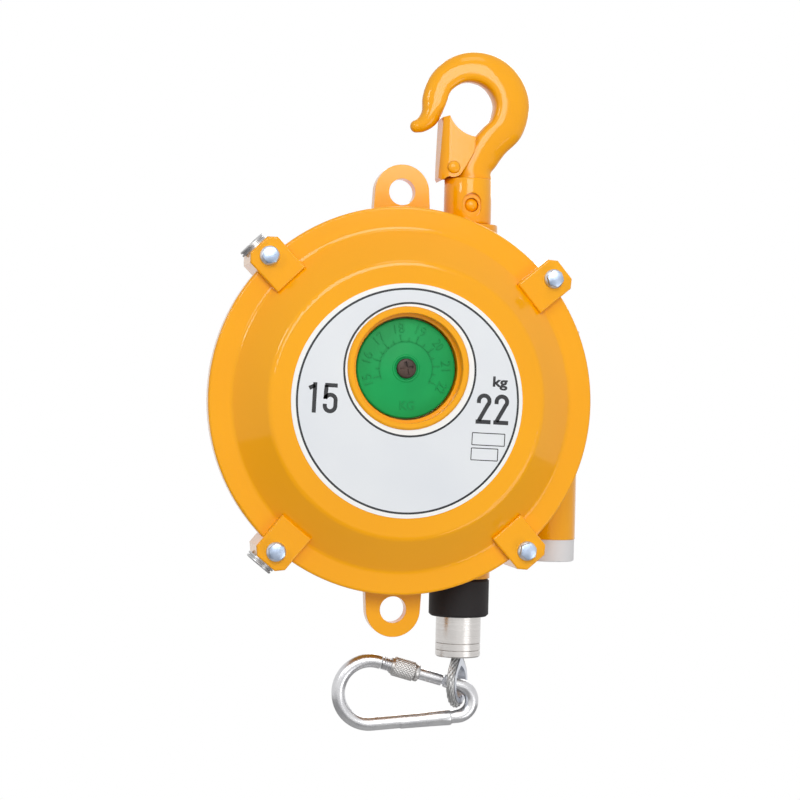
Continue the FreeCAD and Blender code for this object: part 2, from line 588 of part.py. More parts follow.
def dial_train():
    """Dial, its gear, the pinion on the shaft's nose and the screw that the dial turns on."""
    bore, back = "screw_shank + fit_gap", "-dial_face + dial_thick"
    turned("load_dial", [
        (bore, "-dial_face"), ("dial_radius - dial_edge", "-dial_face"),
        ("dial_radius", "-dial_face + dial_edge"), ("dial_radius", back), (bore, back)],
        lift=DIAL_OFFSET)
    gear("dial_gear", size("dial_teeth"), size(bore), size(back), -90.0, size(DIAL_OFFSET))
    half_tooth = 180.0 / size("pinion_teeth")
    gear("dial_pinion", size("pinion_teeth"), size("nose_radius"), size(back), 90.0 + half_tooth, 0)
    foot = "rim_thick - face_gap * 10"
    turned("dial_screw", [
        ("0", "-dial_face - screw_rise"), ("screw_head - screw_edge", "-dial_face - screw_rise"),
        ("screw_head", "-dial_face - screw_rise + screw_edge"), ("screw_head", "-dial_face - fit_gap"),
        ("screw_shank", "-dial_face - fit_gap"), ("screw_shank", foot), ("0", foot)],
        lift=DIAL_OFFSET)


# --- shaft, spring and worm ------------------------------------------------------------
def bushes_and_shaft():
    """The main shaft, keyed to the spring case, and the bushes and rings that hold it."""
    front, back = "-floor_depth", SHAFT_BACK
    flange = BUSH_RADIUS + " + bush_flange"
    body = turned("main_shaft", [
        ("0", "-dial_face + dial_thick + face_gap"),
        ("nose_radius - fit_gap", "-dial_face + dial_thick + face_gap"),
        ("nose_radius - fit_gap", front + " + 0.5"), ("shaft_radius", front + " + 0.5"),
        ("shaft_radius", back), ("0", back)])
    slot = new_sketch(body, "XY_Plane", "shaft_radius + 1")
    draw_outline(slot, [
        ("-key_width / 2", SPRING_BACK + " - key_length"), ("key_width / 2", SPRING_BACK + " - key_length"),
        ("key_width / 2", SPRING_BACK), ("-key_width / 2", SPRING_BACK)])
    extrude(body, slot, "1 + key_width / 2", cut=True, back=True)
    turned("front_bush", [
        ("shaft_radius + fit_gap", front + " + 1"), (BUSH_RADIUS, front + " + 1"),
        (BUSH_RADIUS, "rim_thick - bush_flange"), (flange, "rim_thick - bush_flange"),
        (flange, "rim_thick - bush_flange + flange_thick"),
        ("shaft_radius + fit_gap", "rim_thick - bush_flange + flange_thick")])
    turned("rear_bush", [
        ("shaft_radius + fit_gap", "case_depth - case_wall - flange_thick / 3"),
        (flange, "case_depth - case_wall - flange_thick / 3"),
        (flange, "case_depth - case_wall"), (BUSH_RADIUS, "case_depth - case_wall"),
        (BUSH_RADIUS, back), ("shaft_radius + fit_gap", back)])
    key = doc.addObject("Part::Box", "shaft_key")
    key.Label = "shaft_key"
    key.setExpression("Length", cells("key_width"))
    key.setExpression("Width", cells("key_length"))
    key.setExpression("Height", cells("key_width"))
    key.Placement = Placement(CASE + Vector(-size("key_width") / 2, size(SPRING_BACK + " - key_length"),
                                            size("shaft_radius - key_width / 2")), Rotation())
    rings = []
    thick, inside = size("ring_thick"), size("shaft_radius")
    outside = inside + size("ring_height")
    front_seat = size("rim_thick - bush_flange + flange_thick + face_gap")
    for place in (front_seat, size(SPRING_BACK + " + face_gap")):
        ring = cylinder_y(outside, place, place + thick).cut(cylinder_y(inside, place - 1, place + thick + 1))
        gap = Part.makeBox(inside / 2, thick + 2, outside, Vector(-inside / 4, place - 1, -outside - 1))
        rings.append(ring.cut(gap))
    feature_of("retaining_rings", Part.Compound(rings), CASE)


def spring_pack():
    """The spring case, its lid and the worm wheel round its front edge."""
    wall, lip = SPRING_OUTER, SPRING_OUTER + " + lid_rim"
    hub, wheel_back = "shaft_radius + disc_hub", SPRING_FRONT + " + wheel_thick"
    body = turned("spring_case", [
        ("shaft_radius", ARBOR_END + " + arbor_gap"), (hub, ARBOR_END + " + arbor_gap"),
        (hub, SPRING_BACK + " - disc_thick"), (SPRING_RADIUS, SPRING_BACK + " - disc_thick"),
        (SPRING_RADIUS, SPRING_FRONT), (wall, SPRING_FRONT), (wall, wheel_back), (lip, wheel_back),
        (lip, wheel_back + " + lid_rim"), (wall, wheel_back + " + lid_rim"),
        (wall, SPRING_BACK + " - lid_rim"), (wall + " - lid_rim", SPRING_BACK),
        ("shaft_radius", SPRING_BACK)])
    slot = new_sketch(body, "XY_Plane", "0")
    draw_outline(slot, [
        ("-key_width / 2", SPRING_BACK + " - key_length"), ("key_width / 2", SPRING_BACK + " - key_length"),
        ("key_width / 2", SPRING_BACK + " + 1"), ("-key_width / 2", SPRING_BACK + " + 1")])
    extrude(body, slot, "shaft_radius + key_width / 2", cut=True)
    turned("spring_lid", [
        ("lid_hole", SPRING_FRONT + " - lid_thick"), (lip, SPRING_FRONT + " - lid_thick"),
        (lip, SPRING_FRONT), ("lid_hole", SPRING_FRONT)])
    heads, count = [], int(size("lid_screws"))
    front = size(SPRING_FRONT + " - lid_thick")
    for number in range(count):
        centre = polar(size(SPRING_RADIUS + " + spring_wall / 2"), 360.0 * (number + 0.5) / count)
        heads.append(cylinder_y(size("lid_screw_head"), front - size("lid_screw_rise"), front,
                                centre.x, centre.z))
    feature_of("lid_screws", Part.Compound(heads), CASE)
    teeth = int(size(WHEEL_TEETH))
    face = gear_face(teeth, size(WHEEL_RADIUS), size("worm_module"), size("worm_backlash"))
    wheel = face.extrude(Y * size("wheel_thick")).cut(
        cylinder_y(size(wall), -1, size("wheel_thick") + 1))
    feature_of("worm_wheel", wheel, CASE + Y * size(SPRING_FRONT))


def power_spring():
    """The flat spring, wound as half turns between the drum's arbor and the case wall."""
    thick, turns = size("strip_thick"), int(size("strip_turns"))
    inner = size("arbor_radius + face_gap")
    outer = size(SPRING_RADIUS + " - face_gap") - thick
    step = (outer - inner) / (2 * turns - 1)
    inside, outside = [], []
    radius, centre = inner, 0.0
    for half in range(2 * turns):
        up = 1 if half % 2 == 0 else -1
        for radii, edges in ((radius, inside), (radius + thick, outside)):
            start = Vector(centre + radii * up, 0, 0)
            top = Vector(centre, 0, radii * up)
            end = Vector(centre - radii * up, 0, 0)
            edges.append(Part.Arc(start, top, end).toShape())
        centre += step / 2 * up
        radius += step / 2
    first = Part.LineSegment(outside[0].valueAt(outside[0].FirstParameter),
                             inside[0].valueAt(inside[0].FirstParameter)).toShape()
    last = Part.LineSegment(inside[-1].valueAt(inside[-1].LastParameter),
                            outside[-1].valueAt(outside[-1].LastParameter)).toShape()
    face = Part.Face(Part.Wire([first] + inside + [last] + outside[::-1]))
    front = size(SPRING_FRONT + " + strip_gap")
    strip = face.extrude(Y * (size(ARBOR_END) - front))
    feature_of("power_spring", strip, CASE + Y * front)


def worm_drive():
    """The upright worm, its two bushes and the cap that holds it in its housing."""
    across = size(WORM_ACROSS)
    place = CASE + Vector(across, size(WORM_DEEP), 0)
    pitch = math.pi * size("worm_module")
    half = size("worm_half_length")
    root = size(f"worm_pitch_radius - worm_module * {TOOTH_ROOT}")
    tip, sunk = size(WORM_TIP), root - size("worm_root_sink")
    slope = math.tan(math.radians(PRESSURE_ANGLE)) * size("worm_module")
    width = pitch / 4 - size("worm_backlash") / 2
    wide, narrow = width + slope * (tip - sunk - size("worm_module")) / size("worm_module"), width - slope
    core = Part.makeCylinder(root, 2 * half, Vector(0, 0, -half), Z)
    turns = 3
    start = -turns * pitch / 2
    helix = Part.makeHelix(pitch, turns * pitch, tip)
    helix.translate(Vector(0, 0, start))
    profile = Part.makePolygon([
        Vector(sunk, 0, start - wide), Vector(tip, 0, start - narrow), Vector(tip, 0, start + narrow),
        Vector(sunk, 0, start + wide), Vector(sunk, 0, start - wide)])
    thread = Part.Wire(helix.Edges).makePipeShell([profile], True, True)
    # the thread stands either side of the wheel's tooth that points at the worm
    thread.rotate(Vector(), Z, 180.0)
    journal, bore = size("worm_journal"), size("worm_journal + fit_gap")
    housing = size(WORM_BORE)
    wheel_tip = size(WHEEL_RADIUS + " + worm_module")
    clear = math.sqrt(wheel_tip ** 2 - (across - housing) ** 2) + size("face_gap * 3")
    low, high = size("worm_end_gap - worm_box_bottom"), size("worm_box_top - case_wall - worm_room")
    body = core.fuse([thread, cylinder_z(journal, low, high)])
    socket = hexagon(size("key_socket"), low - 1, low + size("key_depth"))
    feature_of("worm", body.cut(socket).removeSplitter(), place)
    rings = []
    for bottom, top in ((clear, high), (-clear - size("worm_bush"), -clear)):
        ring = cylinder_z(housing - size("fit_gap") / 2, bottom, top)
        rings.append(ring.cut(cylinder_z(bore, bottom - 1, top + 1)))
    feature_of("worm_bushes", Part.Compound(rings), place)
    bottom = -size("worm_box_bottom")
    cap = cylinder_z(size("worm_cap_radius"), bottom - size("worm_cap_length"), bottom)
    cap = cap.fuse(cylinder_z(housing - size("fit_gap") / 2, bottom, bottom + size("worm_cap_plug")))
    hole = cylinder_z(bore, bottom - 2 * size("worm_cap_length"), bottom + 2 * size("worm_cap_plug"))
    feature_of("worm_cap", cap.cut(hole).removeSplitter(), place)


# --- drum and rope ---------------------------------------------------------------------
def surface_at(depth):
    """The drum's winding surface at a depth, as an expression: a gentle cone."""
    return f"(line_offset - {ROPE_RADIUS} - fit_gap * 4 + drum_cone * ({depth} - line_depth))"


def drum_group():
    """The conical rope drum, the arbor bolted to its web, and the two ball bearings."""
    first, last = "(drum_front + drum_flange)", "(drum_back - drum_flange)"
    bore, seat = "shaft_radius + drum_bore_gap", "bearing_radius"
    pocket, flange = "bearing_width + bearing_inset", "arbor_radius + arbor_flange"
    turned("rope_drum", [
        (seat, "drum_front"), (seat, "drum_front + " + pocket), (bore, "drum_front + " + pocket),
        (bore, WEB_BACK), (surface_at(last) + " - drum_wall", WEB_BACK),
        (surface_at(last) + " - drum_wall", "drum_back"), ("drum_flange_radius", "drum_back"),
        ("drum_flange_radius", last), (surface_at(last), last), (surface_at(first), first),
        ("drum_flange_radius", first), ("drum_flange_radius", "drum_front"),
        (surface_at(first) + " - drum_wall", "drum_front"),
        (surface_at(first) + " - drum_wall", WEB_BACK + " - web_thick"),
        ("arbor_radius", WEB_BACK + " - web_thick"), ("arbor_radius", "drum_front")])
    turned("spring_arbor", [
        (bore, WEB_BACK), (flange, WEB_BACK), (flange, WEB_BACK + " + arbor_flange_thick"),
        ("arbor_radius", WEB_BACK + " + arbor_flange_thick"), ("arbor_radius", ARBOR_END), (seat, ARBOR_END),
        (seat, f"{ARBOR_END} - ({pocket})"), (bore, f"{ARBOR_END} - ({pocket})")])
    rings = []
    for front in (size("drum_front + bearing_inset"), size(f"{ARBOR_END} - ({pocket})")):
        ring = cylinder_y(size("bearing_radius"), front, front + size("bearing_width")).cut(
            cylinder_y(size("shaft_radius + fit_gap"), front - 1, front + size("bearing_width") + 1))
        rings.append(ring)
    feature_of("drum_bearings", Part.Compound(rings), CASE)
    rope = turned("rope_coil", [
        (surface_at(f"({first} + face_gap)") + " + fit_gap", first + " + face_gap"),
        (surface_at(f"({last} - face_gap)") + " + fit_gap", last + " - face_gap"),
        (surface_at(f"({last} - face_gap)") + " + rope_diameter", last + " - face_gap"),
        (surface_at(f"({first} + face_gap)") + " + rope_diameter", first + " + face_gap")])
    notch = new_sketch(rope, "XY_Plane", "-drum_flange_radius")
    draw_circle(notch, ROPE_RADIUS + " + face_gap", "line_offset", "line_depth")
    extrude(rope, notch, "drum_flange_radius + 1", cut=True)


def rope_end():
    """The free rope, its guide in the case, and what hangs on its end."""
    rope = size(ROPE_RADIUS)
    place = Vector(0, 0, -size(SEAT_HEIGHT))
    seat, mouth = "-" + BOSS_BOTTOM_INSIDE, "-" + BOSS_BOTTOM
    lid = seat + " + guide_flange_thick"
    outside, collar = "guide_radius - fit_gap / 2", "guide_radius + guide_flange"
    turned("rope_guide", [
        ("guide_bore + guide_flare", lid), (collar, lid), (collar, seat), (outside, seat),
        (outside, mouth), ("guide_bore + guide_flare * 2 / 3", mouth),
        ("guide_bore", mouth + " + guide_flare"), ("guide_bore", seat + " - guide_flare")],
        "XZ_Plane", place)
    ferrule_top = -size(BUMPER_END + " + sleeve_step")
    joint = ferrule_top - size("rope_grip")
    run_end = f"-{BUMPER_END} - sleeve_step - rope_grip + face_gap"
    turned("rope_run", [("0", "0"), (ROPE_RADIUS, "0"), (ROPE_RADIUS, run_end), ("0", run_end)],
           "XZ_Plane", place)
    top, low = mouth + " - face_gap", "-" + BUMPER_END
    hole = ROPE_RADIUS + " + bumper_gap"
    turned("rubber_bumper", [
        (hole, top), ("bumper_radius - bumper_edge", top), ("bumper_radius", top + " - bumper_edge"),
        ("bumper_radius", low + " + bumper_edge"), ("bumper_radius - bumper_edge", low), (hole, low)],
        "XZ_Plane", place)
    end, step, hole = "-" + SLEEVE_END, low + " - sleeve_step", ROPE_RADIUS + " + sleeve_gap"
    side = [(hole, low), ("sleeve_radius", low)]
    for groove in ("groove_second", "groove_first"):
        side += [("sleeve_radius", f"{end} + {groove} + groove_half"),
                 ("sleeve_radius - groove_depth", f"{end} + {groove}"),
                 ("sleeve_radius", f"{end} + {groove} - groove_half")]
    turned("stop_sleeve", side + [
        ("sleeve_radius", end + " + groove_depth * 2"), ("sleeve_radius - groove_depth * 2", end),
        ("ferrule_radius + fit_gap", end), ("ferrule_radius + fit_gap", step), (hole, step)],
        "XZ_Plane", place)
    spread = rope + size("strand_gap")
    low = -size(SLEEVE_END + " - ferrule_inset")
    ferrule = cylinder_z(size("ferrule_radius"), low, ferrule_top)
    ferrule = ferrule.cut(cylinder_z(rope + size("fit_gap"), joint, ferrule_top + 1))
    eye_turn = Rotation(Z, size("eye_turn"))
    for side in (-1, 1):
        spot = eye_turn.multVec(Vector(side * spread, 0, 0))
        ferrule = ferrule.cut(cylinder_z(rope + size("fit_gap"), low - 1, joint - 1, spot.x, spot.y))
    feature_of("rope_ferrule", ferrule, place)
    eye_parts(place, spread, joint - 1, eye_turn)


def bent_run(spread, knee, heading, soft):
    """One side of the eye: the corners of a soft bend from the ferrule onto its slope."""
    slope = Vector(math.sin(heading), 0, -math.cos(heading))
    corner = Vector(spread, 0, knee)
    cut_back = soft * math.tan(heading / 2)
    start, end = corner + Z * cut_back, corner + slope * cut_back
    middle = Vector(spread + soft * (1 - math.cos(heading / 2)), 0, start.z - soft * math.sin(heading / 2))
    return start, middle, end


def eye_path(spread, top, knee, seat, reach):
    """The rope's eye in the XZ plane: down from the ferrule, round the thimble and back."""
    away = Vector(-spread, 0, seat - knee)
    heading = math.atan2(away.x, -away.z) + math.asin(reach / away.Length)
    run = math.sqrt(away.Length ** 2 - reach ** 2)
    touch = Vector(spread + math.sin(heading) * run, 0, knee - math.cos(heading) * run)
    start, middle, end = bent_run(spread, knee, heading, size("eye_soft"))
    head = Vector(spread, 0, top)

    def mirrored(point):
        """The same point on the other side of the eye."""
        return Vector(-point.x, point.y, point.z)
    return [
        Part.LineSegment(mirrored(head), mirrored(start)).toShape(),
        Part.Arc(mirrored(start), mirrored(middle), mirrored(end)).toShape(),
        Part.LineSegment(mirrored(end), mirrored(touch)).toShape(),
        Part.Arc(mirrored(touch), Vector(0, 0, seat - reach), touch).toShape(),
        Part.LineSegment(touch, end).toShape(),
        Part.Arc(end, middle, start).toShape(),
        Part.LineSegment(start, head).toShape()]


def eye_parts(place, spread, top, eye_turn):
    """The rope's eye and the thimble that lines it, in one upright plane."""
    rope, wall, inner = size(ROPE_RADIUS), size("thimble_wall"), size("eye_radius")
    reach = inner + wall + rope
    seat = -size(LINK_DEPTH + " - eye_seat") + inner
    knee = -size(SLEEVE_END + " + face_gap")
    path = eye_path(spread, top, knee, seat, reach)
    eye = pipe(path, rope)
    eye.Placement = Placement(Vector(), eye_turn)
    feature_of("rope_eye", eye, place)
    lift = knee - seat
    outside = Part.Wire(belt_wire(reach + size("thimble_lip"), spread, lift - spread))
    inside = Part.Wire(belt_wire(inner, size("thimble_nose"), lift - spread - size("thimble_throat")))
    width = size("thimble_width")
    ring = Part.Face(outside).extrude(Y * width).cut(Part.Face(inside).extrude(Y * width))
    ring.translate(Y * (-width / 2))
    ring.Placement = Placement(Z * seat, Rotation(Y, -90)).multiply(ring.Placement)
    thimble = ring.cut(pipe(path, rope + size("fit_gap"))).removeSplitter()
    thimble = max(thimble.Solids, key=lambda solid: solid.Volume).copy()
    thimble.rotate(Vector(), Z, size("eye_turn"))
    feature_of("thimble", thimble, place)


def carabiner():
    """The pear-shaped link, with its gate, gate pin and lock nut."""
    place = Vector(0, 0, -size(f"{SEAT_HEIGHT} + {LINK_DEPTH}"))
    rod, gate = size("link_rod"), size("gate_rod")
    big_arc, lower, small_arc, upper = belt_wire(size("link_big"), size("link_small"), size("link_length"))
    start, end = (upper.valueAt(at) for at in (upper.FirstParameter, upper.LastParameter))
    along = (end - start).normalize()
    pivot = start + along * size("gate_pivot")
    nose = end - along * size("link_nose")
    reach = (nose - pivot).Length - size("gate_gap")
    fork = pivot + along * size("gate_fork")
    body = pipe([Part.LineSegment(nose, end).toShape(), big_arc, lower, small_arc,
                 Part.LineSegment(start, fork).toShape()], rod)
    gate_turn = Rotation(Y, math.degrees(math.atan2(along.z, -along.x)))

    def seated(shape):
        """A shape drawn about the gate's pivot, with the gate along -X, put on the link."""
        shape = shape.copy()
        shape.Placement = Placement(pivot, gate_turn).multiply(shape.Placement)
        return shape

    def round_bar(radius, near, far):
        """A round bar along the gate, between two distances from its pivot."""
        return Part.makeCylinder(radius, far - near, Vector(-near, 0, 0), -X)

    def cross_bar(radius, half):
        """A round bar across the gate at its pivot."""
        return cylinder_y(radius, -half, half)
    pin, tongue = size("gate_pin_radius"), size("tongue_half")
    room = size("face_gap")
    cheek = tongue + room / 2
    slot = Part.makeBox(5 * rod / 2, 2 * cheek, 4 * rod, Vector(-3 * rod / 2, -cheek, -2 * rod))
    body = body.cut([seated(slot), seated(cross_bar(pin + room / 6, 2 * rod))])
    knuckle = rod - size("knuckle_inset")
    arm = Part.makeBox(2 * rod, 2 * tongue, 2 * knuckle - 1, Vector(-2 * rod, -tongue, 0.5 - knuckle))
    swing = cross_bar(knuckle, tongue).fuse([arm, round_bar(gate, size("gate_shoulder"), reach - room)])
    swing = swing.cut(cross_bar(pin + room / 3, 2 * rod)).removeSplitter()
    nut_end = reach + size("nut_hold - nut_travel")
    nut_start = nut_end - size("nut_length")
    nut = round_bar(size("nut_radius"), nut_start, nut_end).cut(
        round_bar(rod + room / 2, nut_start + size("nut_wall"), nut_end + 1))
    nut = nut.cut(round_bar(gate + room / 3, 0, reach)).removeSplitter()
    pieces = {"carabiner_body": body, "carabiner_gate": seated(swing),
              "gate_pin": seated(cross_bar(pin, rod - room)), "lock_nut": seated(nut)}
    for label, shape in pieces.items():
        shape.translate(-X * size("link_length"))
        shape.rotate(Vector(), Y, size("link_slope"))
        feature_of(label, shape, place)


# --- top hook --------------------------------------------------------------------------
def hook_section(x, z, heading, half, deep):
    """An elliptical section of the hook, square to its heading in degrees."""
    along = Vector(math.cos(math.radians(heading)), 0, math.sin(math.radians(heading)))
    across = Vector(-along.z, 0, along.x)
    centre = Vector(x, 0, z)
    if half >= deep:
        ellipse = Part.Ellipse(centre + across * half, centre + Y * deep, centre)
    else:
        ellipse = Part.Ellipse(centre + Y * deep, centre + across * half, centre)
    return Part.Wire(ellipse.toShape())


def top_hook():
    """The forged hook: a round bowl that thickens to its crown, a nose and a straight shank."""
    bowl, mean, swing = size("bowl_radius"), size("hook_mean"), size("hook_swing")

    def named(name, side, heading, flatness):
        """One of the sections before or after the bowl, by its own sizes."""
        half = size(name + "_half")
        return hook_section(side * size(name + "_across"), -size(name + "_drop"), heading, half,
                            half * flatness)
    sections = [named(name, -1, heading, 1.0) for name, heading in
                (("tip", 15), ("curl", 25), ("bend", 55), ("nose", 78))]
    for angle in (172, 135, 90, 45, 0, -28):
        half = mean + swing * math.cos(math.radians(angle))
        centre = polar(bowl + half, angle)
        sections.append(hook_section(centre.x, centre.z, angle - 90, half, half * BOWL_FLATNESS))
    sections += [named(name, 1, heading, NECK_FLATNESS) for name, heading in
                 (("throat", -134), ("lean", -122), ("line", -98), ("neck", -90))]
    tip = Part.makeSphere(size("tip_half") - TOUCH, Vector(-size("tip_across"), 0, -size("tip_drop")))
    low, neck = -size("neck_drop + shank_depth"), -size("neck_drop")
    body = Part.makeLoft(sections, True, False)
    body = body.fuse([tip, cylinder_z(size("shank_radius"), low, neck + 1.0)])
    x, z = size("latch_x"), size("latch_z")
    ear, ear_half = size("latch_ear"), size("latch_ear_half")
    root = Part.makeBox(size("latch_ear_reach"), 2 * ear_half, 2 * ear, Vector(x, -ear_half, z - ear))
    body = body.fuse([cylinder_y(ear, -ear_half, ear_half, x, z), root])
    rivet, pin = size("rivet_radius + fit_gap"), size("pin_radius")
    body = body.cut([cylinder_y(rivet, -2 * ear_half, 2 * ear_half, x, z),
                     cylinder_y(pin, -3 * pin, 3 * pin, 0, -size("pin_depth"))])
    feature_of("top_hook", body.removeSplitter())


def hook_head():
    """The swivel head that the hook is pinned into, its stem, pin, nut and washer."""
    foot, top = "-head_foot", "-neck_drop"
    stem_end = f"{BOSS_INSIDE} - {SEAT_HEIGHT} - stem_nut - stem_spare"
    body = turned("hook_head", [
        ("0", stem_end), ("stem_radius", stem_end), ("stem_radius", foot), ("head_radius - head_edge", foot),
        ("head_radius", foot + " + head_edge"), ("head_radius", top + " - head_edge"),
        ("head_radius - head_edge", top), ("shank_radius + fit_gap", top),
        ("shank_radius + fit_gap", top + " - shank_depth - face_gap"),
        ("0", top + " - shank_depth - face_gap")], "XZ_Plane", Vector())
    pin_hole = new_sketch(body, "XZ_Plane", "-head_radius - 1")
    draw_circle(pin_hole, "pin_radius", "0", "-pin_depth")
    extrude(body, pin_hole, "head_radius * 2 + 2", cut=True)
    for front in (True, False):
        lift = "head_radius - recess_depth" if front else "recess_depth - head_radius"
        recess = new_sketch(body, "XZ_Plane", lift)
        draw_circle(recess, "pin_radius + pin_recess", "0", "-pin_depth")
        extrude(body, recess, "recess_depth * 2", cut=True, back=not front)
    pin = doc.addObject("Part::Cylinder", "hook_pin")
    pin.Label = "hook_pin"
    pin.setExpression("Radius", cells("pin_radius"))
    pin.setExpression("Height", cells("(head_radius - pin_inset) * 2"))
    pin.Placement = Placement(Vector(0, -size("head_radius - pin_inset"), -size("pin_depth")), Rotation(Z, Y))
    top = size(f"{BOSS_INSIDE} - {SEAT_HEIGHT} - face_gap")
    low = top - size("thrust_thick")
    washer = cylinder_z(size("stem_radius + washer_width"), low, top)
    feature_of("thrust_washer", washer.cut(cylinder_z(size("stem_radius + fit_gap"), low - 1, top + 1)))
    nut_top = low - size("fit_gap") * 4
    nut_low = nut_top - size("stem_nut")
    nut = hexagon(size("stem_nut_flats"), nut_low, nut_top)
    feature_of("swivel_nut", nut.cut(cylinder_z(size("stem_radius"), nut_low - 1, nut_top + 1)))


def hook_latch():
    """The folded latch, the rivet that it turns on and its spring."""
    x, z = size("latch_x"), size("latch_z")
    half, sheet_thick, cut = size("latch_half"), size("latch_sheet"), size("latch_cut")
    left, foot = x - size("latch_back"), z - size("latch_foot")
    tip = Vector(-size("latch_tip"), 0, -size("latch_top"))
    dip = Vector(-size("dip_across"), 0, -size("dip_drop"))
    lip = Vector(size("lip_across"), 0, -size("lip_drop"))
    chin = Vector(size("chin_across"), 0, -size("chin_drop"))
    heel = Vector(x + size("heel_across"), 0, z - size("heel_drop"))
    under = Vector(x + size("toe_across") - 1.0, 0, z - size("heel_round"))
    toe = Vector(x - size("toe_across"), 0, z - size("toe_drop"))
    corners = [toe, Vector(left + cut, 0, foot), Vector(left, 0, foot + cut),
               Vector(left + size("latch_lean"), 0, tip.z - cut / 2), tip]
    chain = [Part.Arc(tip, dip, lip), Part.LineSegment(lip, chin), Part.LineSegment(chin, heel),
             Part.Arc(heel, under, toe)]
    chain += [Part.LineSegment(*pair) for pair in zip(corners, corners[1:])]
    outer = Part.Face(Part.Wire([item.toShape() for item in chain])).extrude(Y * (2 * half))
    outer.translate(Y * -half)

    def rounded_slab(near, wide, round_by):
        """A long upright slab, open to the right, with its two left edges rounded."""
        slab = Part.makeBox(4 * half, 2 * wide, -2 * z, Vector(near, -wide, 2 * z))
        edges = [item for item in slab.Edges
                 if abs(item.tangentAt(item.FirstParameter).z) > 0.9 and item.CenterOfMass.x < near + 1]
        return slab.makeFillet(round_by, edges)
    fold = size("fold_round")
    outer = outer.common(rounded_slab(left, half, fold))
    inner = rounded_slab(left + sheet_thick * 1.6, half - sheet_thick, fold - sheet_thick)
    hole = cylinder_y(size("rivet_radius + fit_gap"), -2 * half, 2 * half, x, z)
    feature_of("hook_latch", outer.cut([inner, hole]).removeSplitter())
    face = half + size("rivet_play")
    rivet = cylinder_y(size("rivet_radius"), -face, face, x, z)
    for near, far in ((-face - size("rivet_head_thick"), -face), (face, face + size("rivet_head_thick"))):
        rivet = rivet.fuse(cylinder_y(size("rivet_head"), near, far, x, z))
    feature_of("latch_rivet", rivet.removeSplitter())
    near, far, wire = size("coil_near"), size("coil_far"), size("coil_wire")
    coil = cylinder_y(size("coil_radius"), near, far, x, z)
    coil = coil.cut(cylinder_y(size("rivet_radius + fit_gap * 4"), near - 1, far + 1, x, z))
    spot = Vector(x - size("coil_radius + coil_leg") + wire, near, z + size("coil_radius") - 1.3 * wire)
    feature_of("latch_spring", coil.fuse(Part.makeBox(size("coil_leg"), wire, wire, spot)).removeSplitter())


# --- assembly --------------------------------------------------------------------------
def build():
    """Draw every piece."""
    front_cover()
    rear_case()
    cover_bolts()
    bolt_washers()
    ear_plugs()
    face_label()
    dial_train()
    bushes_and_shaft()
    spring_pack()
    power_spring()
    worm_drive()
    drum_group()
    rope_end()
    carabiner()
    top_hook()
    hook_head()
    hook_latch()


def pieces():
    """The finished pieces: every object with a solid that no other object is made from."""
    kinds = ("PartDesign::Body", "Part::Feature", "Part::Box", "Part::Cylinder")
    return [item for item in doc.Objects if item.TypeId in kinds]


def check():
    """Stop if any object failed to recompute or any piece isn't a valid solid."""
    doc.recompute()
    for item in doc.Objects:
        if "Invalid" in item.State or "Error" in item.State:
            raise RuntimeError(f"{item.Label} failed: {item.State}")
    for piece in pieces():
        shape = piece.Shape
        if shape.isNull() or not shape.isValid() or not shape.Solids:
            raise RuntimeError(f"{piece.Label} has no valid solid")


def export():
    """Write each piece to its own STEP file."""
    os.makedirs("parts", exist_ok=True)
    for piece in pieces():
        piece.Shape.exportStep(f"parts/{piece.Label}.step")


build()
check()
export()
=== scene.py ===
import bmesh
import bpy
import json
import math
from mathutils import Matrix, Vector, geometry


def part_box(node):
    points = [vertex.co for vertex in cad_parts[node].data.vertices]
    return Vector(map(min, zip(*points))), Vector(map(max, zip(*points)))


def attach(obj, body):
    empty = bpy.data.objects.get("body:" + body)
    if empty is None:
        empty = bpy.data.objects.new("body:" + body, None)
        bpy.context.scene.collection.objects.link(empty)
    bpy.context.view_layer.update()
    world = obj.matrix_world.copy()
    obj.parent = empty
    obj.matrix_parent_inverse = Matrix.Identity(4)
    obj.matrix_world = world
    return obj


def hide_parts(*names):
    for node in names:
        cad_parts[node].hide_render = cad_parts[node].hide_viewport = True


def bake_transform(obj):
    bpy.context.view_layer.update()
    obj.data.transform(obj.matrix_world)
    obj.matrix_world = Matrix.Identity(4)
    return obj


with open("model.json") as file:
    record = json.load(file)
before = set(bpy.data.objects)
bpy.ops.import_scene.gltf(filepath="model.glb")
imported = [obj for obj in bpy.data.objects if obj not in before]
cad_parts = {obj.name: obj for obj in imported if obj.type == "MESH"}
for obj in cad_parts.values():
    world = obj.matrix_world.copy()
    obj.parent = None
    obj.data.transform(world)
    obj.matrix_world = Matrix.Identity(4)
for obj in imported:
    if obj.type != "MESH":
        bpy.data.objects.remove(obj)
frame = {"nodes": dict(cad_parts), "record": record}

# A spring tool balancer. Lengths are in metres; x runs right, z up, and the dial faces -y.
MM = 0.001
CASE = Vector((-42, -30, -170.5)) * MM
FACE_DEPTH, LABEL_THICK, DIAL_FACE, DIAL_UP = 22.0 * MM, 0.4 * MM, 15.0 * MM, 18.0 * MM
LABEL_TILT = math.radians(-1.9)
BOLT_CIRCLE, BOLT_SEAT = 109.5 * MM, 12.0 * MM
BOLT_ANGLES = [math.radians(angle) for angle in (40.0, 134.5, 230.5, 311.0)]
EAR_OUTER, PLUG_DEPTH = 118.0 * MM, 12.0 * MM
# the printed circles, as right, up and radius in millimetres, and where the whiter film starts
PLATE_CIRCLE, DIAL_CIRCLE = (0.3, -0.1, 61.8), (0.9, 17.2, 36.7)
WHITE_OUTSIDE, WHITE_INSIDE = 62.3 * MM, 37.1 * MM

